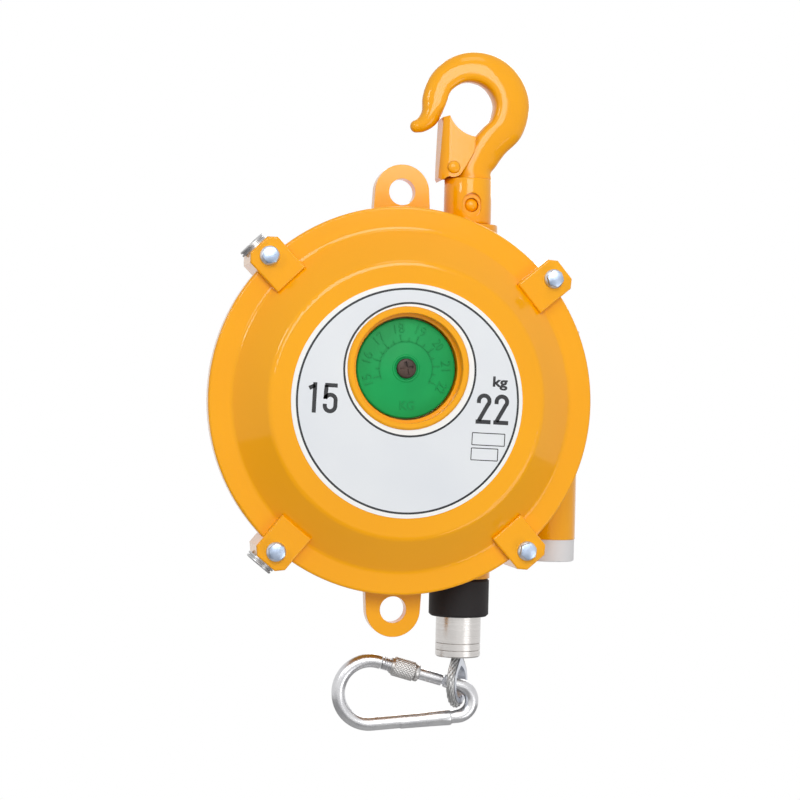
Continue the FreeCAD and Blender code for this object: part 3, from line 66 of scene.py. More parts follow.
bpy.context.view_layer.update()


# --- finishes --------------------------------------------------------------------------
class Wire:
    """One output of a finish's nodes, on which sums are written as on paper."""

    def __init__(self, finish, socket):
        self.finish, self.socket = finish, socket

    def sum(self, operation, *values):
        return self.finish.node("ShaderNodeMath", {"operation": operation}, dict(enumerate(values)))

    def __add__(self, other):
        return self.sum("ADD", self, other)

    __radd__ = __add__

    def __sub__(self, other):
        return self.sum("SUBTRACT", self, other)

    def __rsub__(self, other):
        return self.sum("SUBTRACT", other, self)

    def __mul__(self, other):
        return self.sum("MULTIPLY", self, other)

    __rmul__ = __mul__

    def __truediv__(self, other):
        return self.sum("DIVIDE", self, other)

    def __rtruediv__(self, other):
        return self.sum("DIVIDE", other, self)

    def __gt__(self, other):
        return self.sum("GREATER_THAN", self, other)

    def __lt__(self, other):
        return self.sum("LESS_THAN", self, other)

    def __abs__(self):
        return self.sum("ABSOLUTE", self)

    def sine(self):
        return self.sum("SINE", self)

    def limited(self, low, high):
        """The value, spread from low..high onto 0..1 and held there."""
        return self.finish.node("ShaderNodeMapRange", {"clamp": True},
                                {"Value": self, "From Min": low, "From Max": high})


class Finish:
    """A material of the balancer, built from nodes round one Principled shader."""

    def __init__(self, name, colour, roughness, metallic=0.0, **constants):
        self.material = bpy.data.materials.new(name)
        self.material.use_nodes = True
        self.material.diffuse_color = (*colour, 1.0)
        self.tree = self.material.node_tree
        self.shader = self.tree.nodes["Principled BSDF"]
        self.set(Base_Color=(*colour, 1.0), Roughness=roughness, Metallic=metallic, **constants)

    def node(self, kind, settings, inputs, output=0):
        """A node of any kind, with its settings, then its sockets' values or links."""
        item = self.tree.nodes.new(kind)
        for name, value in settings.items():
            setattr(item, name, value)
        for key, value in inputs.items():
            self.plug(item.inputs[key], value)
        return Wire(self, item.outputs[output])

    def plug(self, socket, value):
        if isinstance(value, Wire):
            self.tree.links.new(value.socket, socket)
        else:
            socket.default_value = value

    def set(self, **sockets):
        """Put values or wires on the shader's sockets, named with underscores."""
        for name, value in sockets.items():
            self.plug(self.shader.inputs[name.replace("_", " ")], value)

    def place(self, centre=(0, 0, 0), scale=(1, 1, 1)):
        """Where a point of the piece is, from a centre, in the balancer's own frame."""
        point = self.node("ShaderNodeTexCoord", {}, {}, "Object")
        moved = self.node("ShaderNodeVectorMath", {"operation": "SUBTRACT"}, {0: point, 1: centre})
        return self.node("ShaderNodeVectorMath", {"operation": "MULTIPLY"}, {0: moved, 1: scale})

    def noise(self, scale, detail=2.0):
        """A soft random value round 0.5, with scale patches to the metre."""
        return self.node("ShaderNodeTexNoise", {"noise_dimensions": "3D"},
                         {"Vector": self.place(), "Scale": scale, "Detail": detail})

    def part(self, vector, axis):
        """One of a vector's three parts, by its number or letter."""
        return self.node("ShaderNodeSeparateXYZ", {}, {0: vector}, axis)

    def radius(self, centre, flat):
        """How far a point is from an axis through centre; flat zeroes the axis."""
        return self.node("ShaderNodeVectorMath", {"operation": "LENGTH"},
                         {0: self.place(centre, flat)}, "Value")

    def mix(self, factor, one, two):
        """A colour between one and two."""
        colours = {6: one if isinstance(one, Wire) else (*one, 1.0),
                   7: two if isinstance(two, Wire) else (*two, 1.0)}
        return self.node("ShaderNodeMix", {"data_type": "RGBA"}, {0: factor, **colours}, 2)

    def relief(self, height, distance, rounded=None):
        """A bump from a height, which at 1 stands a distance proud, over edges that may be rounded."""
        plugs = {"Height": height, "Distance": distance}
        if rounded is not None:
            plugs["Normal"] = rounded
        return self.node("ShaderNodeBump", {}, plugs)


def paint(name, colour, deep):
    """Gloss paint over a casting: softened edges, orange peel, ripples and a slow change of colour."""
    finish = Finish(name, colour, 0.3, Specular_IOR_Level=0.03, Coat_Weight=0.85, Coat_Roughness=0.09,
                    Coat_IOR=1.42)
    slow, peel, grit = finish.noise(14.0, 2.0), finish.noise(620.0, 2.0), finish.noise(2600.0, 1.0)
    finish.set(Base_Color=finish.mix(slow.limited(0.3, 0.7) * 0.5, colour, deep))
    finish.set(Roughness=0.26 + slow * 0.06 + grit * 0.05)
    rounded = finish.node("ShaderNodeBevel", {"samples": 4}, {"Radius": 0.9 * MM})
    finish.set(Normal=finish.relief(peel + grit * 0.15 + finish.noise(90.0, 2.0) * 1.6, 0.00005,
                                    rounded=rounded))
    return finish


def plated(name, colour, tint, roughness, grain=900.0):
    """Zinc or steel plate: clean, finely frosted, with a slight change of tint."""
    finish = Finish(name, colour, roughness, 1.0)
    patch, fine = finish.noise(160.0, 3.0), finish.noise(grain * 3, 2.0)
    finish.set(Base_Color=finish.mix(patch.limited(0.35, 0.7), colour, tint))
    finish.set(Roughness=roughness + patch * 0.08 + fine * 0.06)
    finish.set(Normal=finish.relief(fine + finish.noise(grain) * 0.8, 0.00002))
    return finish


def turned_metal(name, colour, roughness, centre, axis, lines):
    """Metal off a lathe: fine tool marks round its axis, by the distance along it and from it."""
    finish = Finish(name, colour, roughness, 1.0)
    flat = tuple(0.0 if index == axis else 1.0 for index in range(3))
    along = finish.part(finish.place(centre), axis)
    out = finish.radius(centre, flat)
    marks = finish.node("ShaderNodeCombineXYZ", {}, {0: along * lines, 1: out * lines})
    streak = finish.node("ShaderNodeTexNoise", {}, {"Vector": marks, "Scale": 1.0, "Detail": 3.0})
    patch = finish.noise(120.0, 2.0)
    finish.set(Base_Color=finish.mix(streak.limited(0.3, 0.75) * 0.6 + patch * 0.2, colour,
                                     tuple(channel * 0.78 for channel in colour)))
    finish.set(Roughness=roughness - 0.06 + streak * 0.16)
    finish.set(Normal=finish.relief(streak, 0.00003))
    return finish


def moulded(name, colour, roughness, grain, height, shade=0.85):
    """Moulded plastic or rubber: an even grain and a faint change of shade."""
    finish = Finish(name, colour, roughness, Specular_IOR_Level=0.25)
    fine, slow = finish.noise(grain, 3.0), finish.noise(45.0, 2.0)
    finish.set(Base_Color=finish.mix(slow.limited(0.3, 0.7), colour,
                                     tuple(channel * shade for channel in colour)))
    finish.set(Roughness=roughness - 0.05 + fine * 0.1)
    finish.set(Normal=finish.relief(fine, height))
    return finish


def label_film():
    """The face plate: silvery film, a whiter border outside its printed circle."""
    finish = Finish("label_film", (0.75, 0.775, 0.81), 0.38)
    right, up, _ = DIAL_CIRCLE
    from_case = finish.radius(tuple(CASE), (1, 0, 1))
    from_dial = finish.radius((CASE.x + right * MM, 0, CASE.z + up * MM), (1, 0, 1))
    border = (from_case > WHITE_OUTSIDE) + (from_dial < WHITE_INSIDE)
    sparkle = finish.noise(5200.0, 2.0)
    patch = finish.noise(22.0, 2.0).limited(0.3, 0.7)
    silver = finish.mix(patch, (0.74, 0.765, 0.80), (0.79, 0.81, 0.83))
    silver = finish.mix(sparkle * 0.12, silver, (0.6, 0.62, 0.66))
    finish.set(Base_Color=finish.mix(border.limited(0, 1), silver, (0.9, 0.89, 0.86)))
    finish.set(Roughness=0.34 + sparkle * 0.1)
    finish.set(Normal=finish.relief(sparkle, 0.000008))
    return finish


def wire_rope():
    """Galvanised rope: the wires of each strand wind round it, with painted shade in the grooves between
    them.
    """
    finish = Finish("rope_wires", (0.5, 0.5, 0.5), 0.36, 1.0)
    uv = finish.node("ShaderNodeUVMap", {"uv_map": "strand"}, {})
    along, round_it = finish.part(uv, "X"), finish.part(uv, "Y")
    wires = (along * 1500.0 + round_it * math.tau * 6.0).sine() * 0.5 + 0.5
    # painted shade: the colour darkens to near black in the grooves between the wire crests
    finish.set(Base_Color=finish.mix(wires.limited(0.0, 0.5), (0.12, 0.115, 0.11), (0.6, 0.6, 0.6)))
    finish.set(Roughness=0.5 - wires * 0.2)
    finish.set(Normal=finish.relief(wires, 0.00018))
    return finish


def ink():
    """Printed black, slightly raised and a little less shiny than the film."""
    finish = Finish("black_ink", (0.004, 0.005, 0.008), 0.45)
    speck = finish.noise(3800.0, 2.0)
    finish.set(Base_Color=finish.mix(speck * 0.4, (0.004, 0.005, 0.008), (0.012, 0.013, 0.016)),
               Roughness=0.4 + speck * 0.15)
    return finish


YELLOW = (0.97, 0.415, 0.0005)
YELLOW_DEEP = (0.91, 0.365, 0.0005)
AXIS = tuple(CASE)
finishes = {
    "yellow_paint": paint("yellow_gloss", YELLOW, YELLOW_DEEP),
    "zinc": plated("bright_zinc", (0.64, 0.66, 0.70), (0.56, 0.59, 0.66), 0.24),
    "link_zinc": plated("link_zinc", (0.66, 0.66, 0.67), (0.56, 0.56, 0.58), 0.2, 1400.0),
    "bolt_zinc": plated("blued_zinc", (0.44, 0.52, 0.66), (0.26, 0.32, 0.42), 0.28, 1200.0),
    "nut_zinc": plated("knurled_zinc", (0.56, 0.55, 0.54), (0.46, 0.45, 0.44), 0.3, 1400.0),
    "steel": plated("clean_steel", (0.50, 0.50, 0.50), (0.44, 0.44, 0.45), 0.3),
    "shaft_steel": turned_metal("ground_shaft", (0.55, 0.55, 0.56), 0.26, AXIS, 1, 3000.0),
    "spring_steel": plated("blued_spring", (0.10, 0.11, 0.15), (0.17, 0.13, 0.11), 0.34, 700.0),
    "drum_alloy": turned_metal("turned_alloy", (0.70, 0.70, 0.72), 0.34, AXIS, 1, 1500.0),
    "sleeve_steel": turned_metal("turned_sleeve", (0.68, 0.655, 0.635), 0.27, (0, 0, 0), 2, 2600.0),
    "bronze": turned_metal("bearing_bronze", (0.56, 0.36, 0.14), 0.34, AXIS, 1, 1800.0),
    "label_film": label_film(),
    "green_plastic": moulded("green_dial", (0.004, 0.375, 0.092), 0.5, 3200.0, 0.00002),
    # painted shade: the raised figures get a darker copy of the dial's green, standing in for the shading of
    # their relief
    "shaded_green_figures": moulded("shaded_green_figures", (0.003, 0.315, 0.076), 0.45, 3200.0, 0.00002),
    "grey_plastic": moulded("pale_cap", (0.80, 0.79, 0.80), 0.42, 2600.0, 0.00002, 0.93),
    "nylon": moulded("white_nylon", (0.78, 0.77, 0.70), 0.4, 1800.0, 0.00002, 0.94),
    "black_rubber": moulded("black_rubber", (0.020, 0.017, 0.018), 0.62, 1500.0, 0.00006, 0.7),
    "black_screw": plated("black_oxide", (0.045, 0.035, 0.032), (0.09, 0.06, 0.05), 0.42, 1500.0),
    "rope": wire_rope(),
    "ink": ink(),
}
NODE_FINISH = {
    "main_shaft": "shaft_steel", "carabiner_body": "link_zinc", "lock_nut": "link_zinc",
    "carabiner_gate": "link_zinc", "stop_sleeve": "sleeve_steel", "dial_screw": "black_screw",
    "spring_arbor": "shaft_steel", "drum_bearings": "shaft_steel",
}


def joint_of(name):
    """A joint of the record, by its name."""
    return next(joint for joint in frame["record"]["behaviour"]["joints"] if joint["name"] == name)


def dress_nodes():
    """Give every carried-over node the finish that NODE_FINISH lists for it, or else the finish of its own
    material slot.
    """
    slots = {row["node"]: row["material_slot"] for row in frame["record"]["subparts"]}
    for name, item in frame["nodes"].items():
        finish = NODE_FINISH.get(name, slots[name])
        item.data.materials.clear()
        item.data.materials.append(finishes[finish].material)


# --- building helpers ------------------------------------------------------------------
FACE = Matrix.Translation(CASE) @ Matrix.Rotation(math.radians(90), 4, "X")


def new_piece(name, bm, finish, body, place=Matrix(), nodes=(), smooth=32.0):
    """Turn a bmesh into a piece that may stand for CAD nodes and rides on a body, if one is given."""
    bmesh.ops.transform(bm, matrix=place, verts=bm.verts)
    bmesh.ops.remove_doubles(bm, verts=bm.verts, dist=1e-7)
    bmesh.ops.recalc_face_normals(bm, faces=bm.faces)
    mesh = bpy.data.meshes.new(name)
    bm.to_mesh(mesh)
    bm.free()
    mesh.shade_smooth()
    mesh.set_sharp_from_angle(angle=math.radians(smooth))
    mesh.materials.append(finishes[finish].material)
    item = bpy.data.objects.new(name, mesh)
    bpy.context.scene.collection.objects.link(item)
    if body:
        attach(item, body)
    if nodes:
        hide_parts(*nodes)
    return item


def lathe(bm, outline, steps=96, place=Matrix()):
    """Spin an outline of (radius, height) pairs about Z."""
    before = set(bm.verts)
    verts = [bm.verts.new((radius, 0, height)) for radius, height in outline]
    edges = [bm.edges.new(pair) for pair in zip(verts, verts[1:] + verts[:1])]
    bmesh.ops.spin(bm, geom=verts + edges, cent=(0, 0, 0), axis=(0, 0, 1), dvec=(0, 0, 0),
                   angle=math.tau, steps=steps, use_merge=True, use_duplicate=False)
    fresh = [vert for vert in bm.verts if vert not in before]
    bmesh.ops.remove_doubles(bm, verts=fresh, dist=1e-7)
    fresh = [vert for vert in bm.verts if vert not in before]
    bmesh.ops.transform(bm, matrix=place, verts=fresh)


def soften(bm, width, over):
    """Round every edge that turns by more than a number of degrees."""
    bmesh.ops.recalc_face_normals(bm, faces=bm.faces)
    edges = [edge for edge in bm.edges
             if len(edge.link_faces) == 2 and edge.calc_face_angle() > math.radians(over)]
    bmesh.ops.bevel(bm, geom=edges, offset=width, offset_type="OFFSET", affect="EDGES",
                    segments=2, profile=0.5, material=-1, clamp_overlap=True)


def on_face(x, y, z, turn=0.0):
    """A place on the face, by right, up and out from the drum's axis."""
    return FACE @ Matrix.Translation((x, y, z)) @ Matrix.Rotation(turn, 4, "Z")


def pointed(direction, centre):
    """A place at centre whose Z runs in a direction."""
    return Matrix.Translation(centre) @ Vector(direction).to_track_quat("Z", "Y").to_matrix().to_4x4()


def as_object(bm):
    """A spare object for a bmesh, to be evaluated and thrown away."""
    mesh = bpy.data.meshes.new("spare")
    bm.to_mesh(mesh)
    bm.free()
    item = bpy.data.objects.new("spare", mesh)
    bpy.context.scene.collection.objects.link(item)
    return item


def from_object(item):
    """The bmesh of an object as its curve or modifiers make it; the object goes."""
    graph = bpy.context.evaluated_depsgraph_get()
    mesh = bpy.data.meshes.new_from_object(item.evaluated_get(graph))
    bm = bmesh.new()
    bm.from_mesh(mesh)
    bpy.data.meshes.remove(mesh)
    bpy.data.objects.remove(item)
    return bm


def carve(bm, *cutters):
    """Cut closed shapes out of a closed shape."""
    item = as_object(bm)
    tools = [as_object(cutter) for cutter in cutters]
    for tool in tools:
        cut = item.modifiers.new("cut", "BOOLEAN")
        cut.operation, cut.solver, cut.object = "DIFFERENCE", "EXACT", tool
    bm = from_object(item)
    for tool in tools:
        bpy.data.objects.remove(tool)
    return bm


def merge(bm, other):
    """Put another bmesh's geometry into this one."""
    spare = bpy.data.meshes.new("spare")
    other.to_mesh(spare)
    other.free()
    bm.from_mesh(spare)
    bpy.data.meshes.remove(spare)


def box(bm, size, place):
    """A block of three sizes, centred on a place."""
    bmesh.ops.create_cube(bm, size=1.0, matrix=place @ Matrix.Diagonal((*size, 1)))


def lettering(words, height, width, thick, place, bold=0.0):
    """Plain type of a given height and width, standing on the XY plane."""
    curve = bpy.data.curves.new("type", "FONT")
    curve.body = words
    curve.extrude, curve.offset, curve.resolution_u = 0.5, bold, 6
    holder = bpy.data.objects.new("type", curve)
    bpy.context.scene.collection.objects.link(holder)
    bm = from_object(holder)
    bpy.data.curves.remove(curve)
    bmesh.ops.remove_doubles(bm, verts=bm.verts, dist=1e-5)
    xs, ys = [vert.co.x for vert in bm.verts], [vert.co.y for vert in bm.verts]
    middle = Vector(((max(xs) + min(xs)) / 2, (max(ys) + min(ys)) / 2, -0.5))
    bmesh.ops.translate(bm, vec=-middle, verts=bm.verts)
    bmesh.ops.scale(bm, vec=(width / (max(xs) - min(xs)), height / (max(ys) - min(ys)), thick),
                    verts=bm.verts)
    bmesh.ops.transform(bm, matrix=place, verts=bm.verts)
    return bm


def stroke(bm, start, end, width, place):
    """A straight stroke of a figure, one unit thick."""
    start, end = Vector((*start, 0)), Vector((*end, 0))
    turn = Matrix.Rotation(math.atan2(end.y - start.y, end.x - start.x), 4, "Z")
    box(bm, ((end - start).length, width, 1), place @ Matrix.Translation((start + end) / 2) @ turn)


def curved_stroke(bm, centre, radius, start, sweep, width, place, steps=32):
    """A round stroke of a figure, one unit thick, between two angles in degrees."""
    inner, outer = radius - width / 2, radius + width / 2
    verts = [bm.verts.new(corner) for corner in
             ((inner, 0, -0.5), (outer, 0, -0.5), (outer, 0, 0.5), (inner, 0, 0.5))]
    edges = [bm.edges.new(pair) for pair in zip(verts, verts[1:] + verts[:1])]
    before = set(bm.verts) - set(verts)
    bmesh.ops.rotate(bm, verts=verts, cent=(0, 0, 0), matrix=Matrix.Rotation(math.radians(start), 3, "Z"))
    spun = bmesh.ops.spin(bm, geom=verts + edges, cent=(0, 0, 0), axis=(0, 0, 1), dvec=(0, 0, 0),
                          angle=math.radians(sweep), steps=steps, use_merge=False, use_duplicate=False)
    bmesh.ops.contextual_create(bm, geom=[item for item in spun["geom_last"]
                                          if isinstance(item, bmesh.types.BMVert)])
    bmesh.ops.contextual_create(bm, geom=verts)
    fresh = [vert for vert in bm.verts if vert not in before]
    bmesh.ops.transform(bm, matrix=place @ Matrix.Translation((*centre, 0)), verts=fresh)


def skin(bm, rings):
    """Join rings of points into a tube closed at both ends; returns its rings of vertices."""
    sides = len(rings[0])
    ring = bmesh.ops.create_circle(bm, cap_ends=False, radius=1.0, segments=sides)["verts"]
    made = []
    for points in rings:
        if made:
            edges = [bm.edges.get((ring[side - 1], ring[side])) for side in range(sides)]
            fresh = bmesh.ops.extrude_edge_only(bm, edges=edges)["geom"]
            fresh = {item for item in fresh if isinstance(item, bmesh.types.BMVert)}
            ring = [next(edge.other_vert(old) for edge in old.link_edges if edge.other_vert(old) in fresh)
                    for old in ring]
        for vert, point in zip(ring, points):
            vert.co = point
        made.append(ring)
    bmesh.ops.contextual_create(bm, geom=made[0])
    bmesh.ops.contextual_create(bm, geom=ring)
    return made


def smooth_rows(rows, steps):
    """Rows of numbers, with smooth steps between each row and the next."""
    rows = [Vector(row) for row in rows]
    rows = [rows[0] * 2 - rows[1]] + rows + [rows[-1] * 2 - rows[-2]]
    result = []
    for before, start, end, after in zip(rows, rows[1:], rows[2:], rows[3:]):
        for step in range(steps):
            t = step / steps
            result.append(start + ((end - before) * t + (before * 2 - start * 5 + end * 4 - after) * t * t
                                   + (start * 3 - before - end * 3 + after) * t ** 3) / 2)
    return result + [rows[-2]]


def sweep(bm, route, radius, sides=10):
    """A round strand along a route of points, mapped by the way along it and round it."""
    layer = bm.loops.layers.uv.get("strand") or bm.loops.layers.uv.new("strand")
    angles = [math.tau * side / sides for side in range(sides)]
    across = (route[1] - route[0]).orthogonal().normalized()
    rings, lengths = [], []
    for index, point in enumerate(route):
        before, after = route[max(index - 1, 0)], route[min(index + 1, len(route) - 1)]
        heading = (after - before).normalized()
        across = (across - heading * across.dot(heading)).normalized()
        other = heading.cross(across)
        rings.append([point + (across * math.cos(angle) + other * math.sin(angle)) * radius
                      for angle in angles])
        lengths.append(lengths[-1] + (point - before).length if lengths else 0.0)
    made = skin(bm, rings)
    spots = {vert: (length, side) for ring, length in zip(made, lengths) for side, vert in enumerate(ring)}
    walls = {face for vert in spots for face in vert.link_faces if len(face.verts) == 4}
    for face in walls:
        at_seam = any(spots[vert][1] == sides - 1 for vert in face.verts)
        for loop in face.loops:
            length, side = spots[loop.vert]
            loop[layer].uv = (length, 1.0 if side == 0 and at_seam else side / sides)


def hex_head(bm, flats, height, place, chamfer):
    """A hexagon head whose top is turned back to a circle, as a real one's is."""
    steps = 48
    before = set(bm.verts)
    base = bmesh.ops.create_circle(bm, cap_ends=False, radius=flats / 2, segments=steps)["verts"]
    rim = [edge for edge in bm.edges if edge.verts[0] in base and edge.verts[1] in base]
    top = bmesh.ops.extrude_edge_only(bm, edges=rim)["geom"]
    top = [item for item in top if isinstance(item, bmesh.types.BMVert)]
    for vert in base + top:
        angle = math.atan2(vert.co.y, vert.co.x)
        inside = (angle + math.pi / 6) % (math.pi / 3) - math.pi / 6
        stretch = 1.0 / math.cos(inside)
        vert.co.x, vert.co.y = vert.co.x * stretch, vert.co.y * stretch
        if vert in top:
            vert.co.z = height - (stretch - 1.0) * flats / 2 * math.tan(math.radians(30)) - height * 0.05
    rim = [edge for edge in bm.edges if edge.verts[0] in top and edge.verts[1] in top]
    crown = bmesh.ops.extrude_edge_only(bm, edges=rim)["geom"]
    crown = [item for item in crown if isinstance(item, bmesh.types.BMVert)]
    for vert in crown:
        shrink = flats / 2 * (1.0 - chamfer) / vert.co.xy.length
        vert.co.x, vert.co.y, vert.co.z = vert.co.x * shrink, vert.co.y * shrink, height
    bmesh.ops.contextual_create(bm, geom=crown)
    bmesh.ops.contextual_create(bm, geom=base)
    fresh = [vert for vert in bm.verts if vert not in before]
    bmesh.ops.transform(bm, matrix=place, verts=fresh)


# --- face plate and dial ---------------------------------------------------------------
LINE, INK = 1.15 * MM, 0.06 * MM
# figures in strokes, one unit high: a straight one has two ends, a round one a centre,
# a radius, a start and a sweep
FIGURES = {
    "1": (((0.31, 0.0), (0.31, 1.0)), ((0.12, 0.80), (0.31, 0.90))),
    "2": (((0.075, 0.67), (0.075, 0.76)), ((0.25, 0.75), 0.175, 180, -215),
          ((0.393, 0.66), (0.10, 0.10)), ((0.0, 0.07), (0.5, 0.07))),
    "5": (((0.05, 0.93), (0.47, 0.93)), ((0.10, 0.93), (0.085, 0.47)), ((0.25, 0.44), 0.175, 168, -168),
          ((0.425, 0.45), (0.425, 0.24)), ((0.25, 0.25), 0.175, 0, -180), ((0.075, 0.24), (0.075, 0.31))),
}


def figures(bm, words, place, step=0.59, width=0.135):
    """Narrow upright figures, drawn in strokes."""
    for index, figure in enumerate(words):
        spot = place @ Matrix.Translation((index * step, 0, 0))
        for shape in FIGURES[figure]:
            if len(shape) == 2:
                stroke(bm, *shape, width, spot)
            else:
                curved_stroke(bm, *shape, width, spot)


def plate_print():
    """The plate's two printed circles, its load range and its two empty boxes."""
    front = FACE_DEPTH + LABEL_THICK
    bm = bmesh.new()
    flat = Matrix.Diagonal((1, 1, INK, 1))
    for x, y, radius in (PLATE_CIRCLE, DIAL_CIRCLE):
        place = on_face(x * MM, y * MM, front) @ flat
        curved_stroke(bm, (0, 0), radius * MM, 0, 359.99, LINE, place, 180)
    tilt = FACE @ Matrix.Rotation(LABEL_TILT, 4, "Z")
    for x, y, wide, tall in ((46.4, -18.8, 18.4, 6.7), (44.6, -27.2, 15.0, 6.6)):
        place = tilt @ Matrix.Translation((x * MM, y * MM, front)) @ Matrix.Diagonal((MM, MM, INK, 1))
        right, up = wide / 2, tall / 2
        corners = [(-right, -up), (right, -up), (right, up), (-right, up)]
        for start, end in zip(corners, corners[1:] + corners[:1]):
            stroke(bm, start, end, 0.5, place)
    new_piece("plate_lines", bm, "ink", "case")
    bm = bmesh.new()
    for words, x, y, height in (("15", -57.0, -9.2, 16.6), ("22", 38.6, -10.4, 17.0)):
        figures(bm, words, tilt @ Matrix.Translation((x * MM, y * MM, front))
                @ Matrix.Diagonal((height * MM, height * MM, INK, 1)))
    place = tilt @ Matrix.Translation((51.4 * MM, 12.5 * MM, front - INK / 2))
    merge(bm, lettering("kg", 7.6 * MM, 8.4 * MM, INK, place, 0.035))
    new_piece("plate_figures", bm, "ink", "case")


FIRST_LOAD, LAST_LOAD, FIRST_ANGLE, ANGLE_SPAN = 15, 22, 197.0, 224.0


def dial():
    """The green dial: a ring round its hub, a part circle with ticks, and its raised figures."""
    back, front, relief = DIAL_FACE - 2.5 * MM, DIAL_FACE - 0.5 * MM, 0.5 * MM
    bm = bmesh.new()
    lathe(bm, [(2.6 * MM, back), (27.8 * MM, back), (27.8 * MM, front - 0.8 * MM), (27.0 * MM, front),
               (7.8 * MM, front), (7.4 * MM, front + relief), (6.6 * MM, front + relief), (6.2 * MM, front),
               (2.6 * MM, front)], 144, on_face(0, DIAL_UP, 0))
    soften(bm, 0.12 * MM, 25.0)
    new_piece("dial_plate", bm, "green_plastic", "dial", nodes=("load_dial",))
    bm = bmesh.new()
    centre = on_face(0, DIAL_UP, front - 0.02 * MM)
    raised = centre @ Matrix.Translation((0, 0, relief / 2)) @ Matrix.Diagonal((MM, MM, relief, 1))
    last = LAST_LOAD - FIRST_LOAD
    half_step = Matrix.Rotation(math.radians(-ANGLE_SPAN / last / 2), 4, "Z")
    for number in range(last + 1):
        angle = math.radians(FIRST_ANGLE - ANGLE_SPAN * number / last)
        turn = Matrix.Rotation(angle - math.pi / 2, 4, "Z")
        merge(bm, lettering(str(FIRST_LOAD + number), 5.0 * MM, 5.4 * MM, relief,
                            centre @ turn @ Matrix.Translation((0, 22.4 * MM, 0)), -0.012))
        stroke(bm, (0, 15.0), (0, 19.0), 0.55, raised @ turn)
        if number < last:
            stroke(bm, (0, 15.0), (0, 17.0), 0.45, raised @ half_step @ turn)
    merge(bm, lettering("KG", 4.8 * MM, 8.0 * MM, relief, centre @ Matrix.Translation((MM, -20.4 * MM, 0))))
    curved_stroke(bm, (0, 0), 15.0, -32, 236, 0.55, raised, 80)
    # the figures take the darker green copy, a painted shade of their relief
    new_piece("dial_figures", bm, "shaded_green_figures", "dial", smooth=20.0)


def dial_screw():
    """The dark cross-slotted screw that the dial turns on."""
    bm = bmesh.new()
    seat, top = DIAL_FACE + 0.05 * MM, DIAL_FACE + 1.8 * MM
    lathe(bm, [(0, -3.0 * MM), (2.5 * MM, -3.0 * MM), (2.5 * MM, seat), (5.5 * MM, seat),
               (5.5 * MM, top - 0.8 * MM), (5.2 * MM, top - 0.35 * MM), (4.4 * MM, top), (0, top)], 64,
          on_face(0, DIAL_UP, 0))
    cross = []
    for turn in (12.0, 102.0):
        cutter = bmesh.new()
        box(cutter, (7.6 * MM, 1.5 * MM, 2.4 * MM), on_face(0, DIAL_UP, top, math.radians(turn)))
        cross.append(cutter)
    new_piece("dial_centre_screw", carve(bm, *cross), "black_screw", "case", nodes=("dial_screw",))


# --- fasteners -------------------------------------------------------------------------
BOLT_TURNS = (17, 40, 8, 52)


def cover_bolts():
    """Four hexagon bolts with turned-back crowns, each on a round flanged ring."""
    heads, rings = bmesh.new(), bmesh.new()
    for angle, turn in zip(BOLT_ANGLES, BOLT_TURNS):
        x, y = BOLT_CIRCLE * math.cos(angle), BOLT_CIRCLE * math.sin(angle)
        seat = on_face(x, y, BOLT_SEAT, math.radians(turn))
        hex_head(heads, 8.4 * MM, 4.0 * MM, seat, 0.18)
        lathe(heads, [(0, -28.0 * MM), (2.4 * MM, -28.0 * MM), (2.9 * MM, -27.4 * MM), (2.9 * MM, 0),
                      (0, 0)], 24, seat)
        lathe(rings, [(3.3 * MM, 0), (5.5 * MM, 0), (5.5 * MM, 0.8 * MM), (5.3 * MM, 1.2 * MM),
                      (4.4 * MM, 1.9 * MM), (3.3 * MM, 1.9 * MM)], 48,
              seat @ Matrix.Translation((0, 0, -1.2 * MM)))
    new_piece("bolt_heads", heads, "bolt_zinc", "case", nodes=("cover_bolts",))
    new_piece("bolt_rings", rings, "zinc", "case", nodes=("bolt_washers",))


def ear_plugs():
    """Two round stepped plugs with a hexagon socket, set square to the rim in the left ears."""
    bm = bmesh.new()
    for angle in BOLT_ANGLES[1:3]:
        outward = Vector((math.cos(angle), 0, math.sin(angle)))
        seat = CASE + outward * EAR_OUTER + Vector((0, PLUG_DEPTH, 0))
        place = pointed(outward, seat)
        plug = bmesh.new()
        lathe(plug, [(0, 0), (8.6 * MM, 0), (8.6 * MM, 0.9 * MM), (7.5 * MM, 1.1 * MM),
                     (7.5 * MM, 1.6 * MM), (8.3 * MM, 1.8 * MM), (8.3 * MM, 2.6 * MM), (7.9 * MM, 3.0 * MM),
                     (0, 3.0 * MM)], 64, place)
        socket = bmesh.new()
        hex_head(socket, 7.0 * MM, 4.0 * MM, place @ Matrix.Translation((0, 0, 1.0 * MM)), 0.02)
        merge(bm, carve(plug, socket))
        lathe(bm, [(0, -4.5 * MM), (4.15 * MM, -4.5 * MM), (4.15 * MM, 0.2 * MM), (0, 0.2 * MM)], 32, place)
    new_piece("ear_plug_caps", bm, "steel", "case", nodes=("ear_plugs",))


CAP_TOP, CAP_RADIUS, CAP_HOLE = -250.55 * MM, 14.1 * MM, 5.6 * MM


def worm_cap():
    """The wide cap under the worm housing, with the hole for the setting key."""
    low, high = (Vector(corner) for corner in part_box("worm_cap"))
    bm = bmesh.new()
    lathe(bm, [(CAP_HOLE, low.z), (CAP_RADIUS - 0.9 * MM, low.z), (CAP_RADIUS - 0.2 * MM, low.z + 0.3 * MM),
               (CAP_RADIUS, low.z + 1.0 * MM), (CAP_RADIUS, CAP_TOP), (CAP_HOLE, CAP_TOP)], 96,
          Matrix.Translation(((low.x + high.x) / 2, (low.y + high.y) / 2, 0)))
    new_piece("setting_cap", bm, "grey_plastic", "case", nodes=("worm_cap",))


# --- hook ------------------------------------------------------------------------------
HEAD_TOP, HEAD_FOOT, HEAD_RADIUS = -41.9 * MM, -68.2 * MM, 13.7 * MM
HEAD_BORE, BORE_DEPTH, POCKET_RADIUS, POCKET_RISE = 9.55 * MM, 18.3 * MM, 5.3 * MM, 3.0 * MM
PIN_HEIGHT, RIVET = -57.6 * MM, Vector((-10.6, 0, -36.2)) * MM


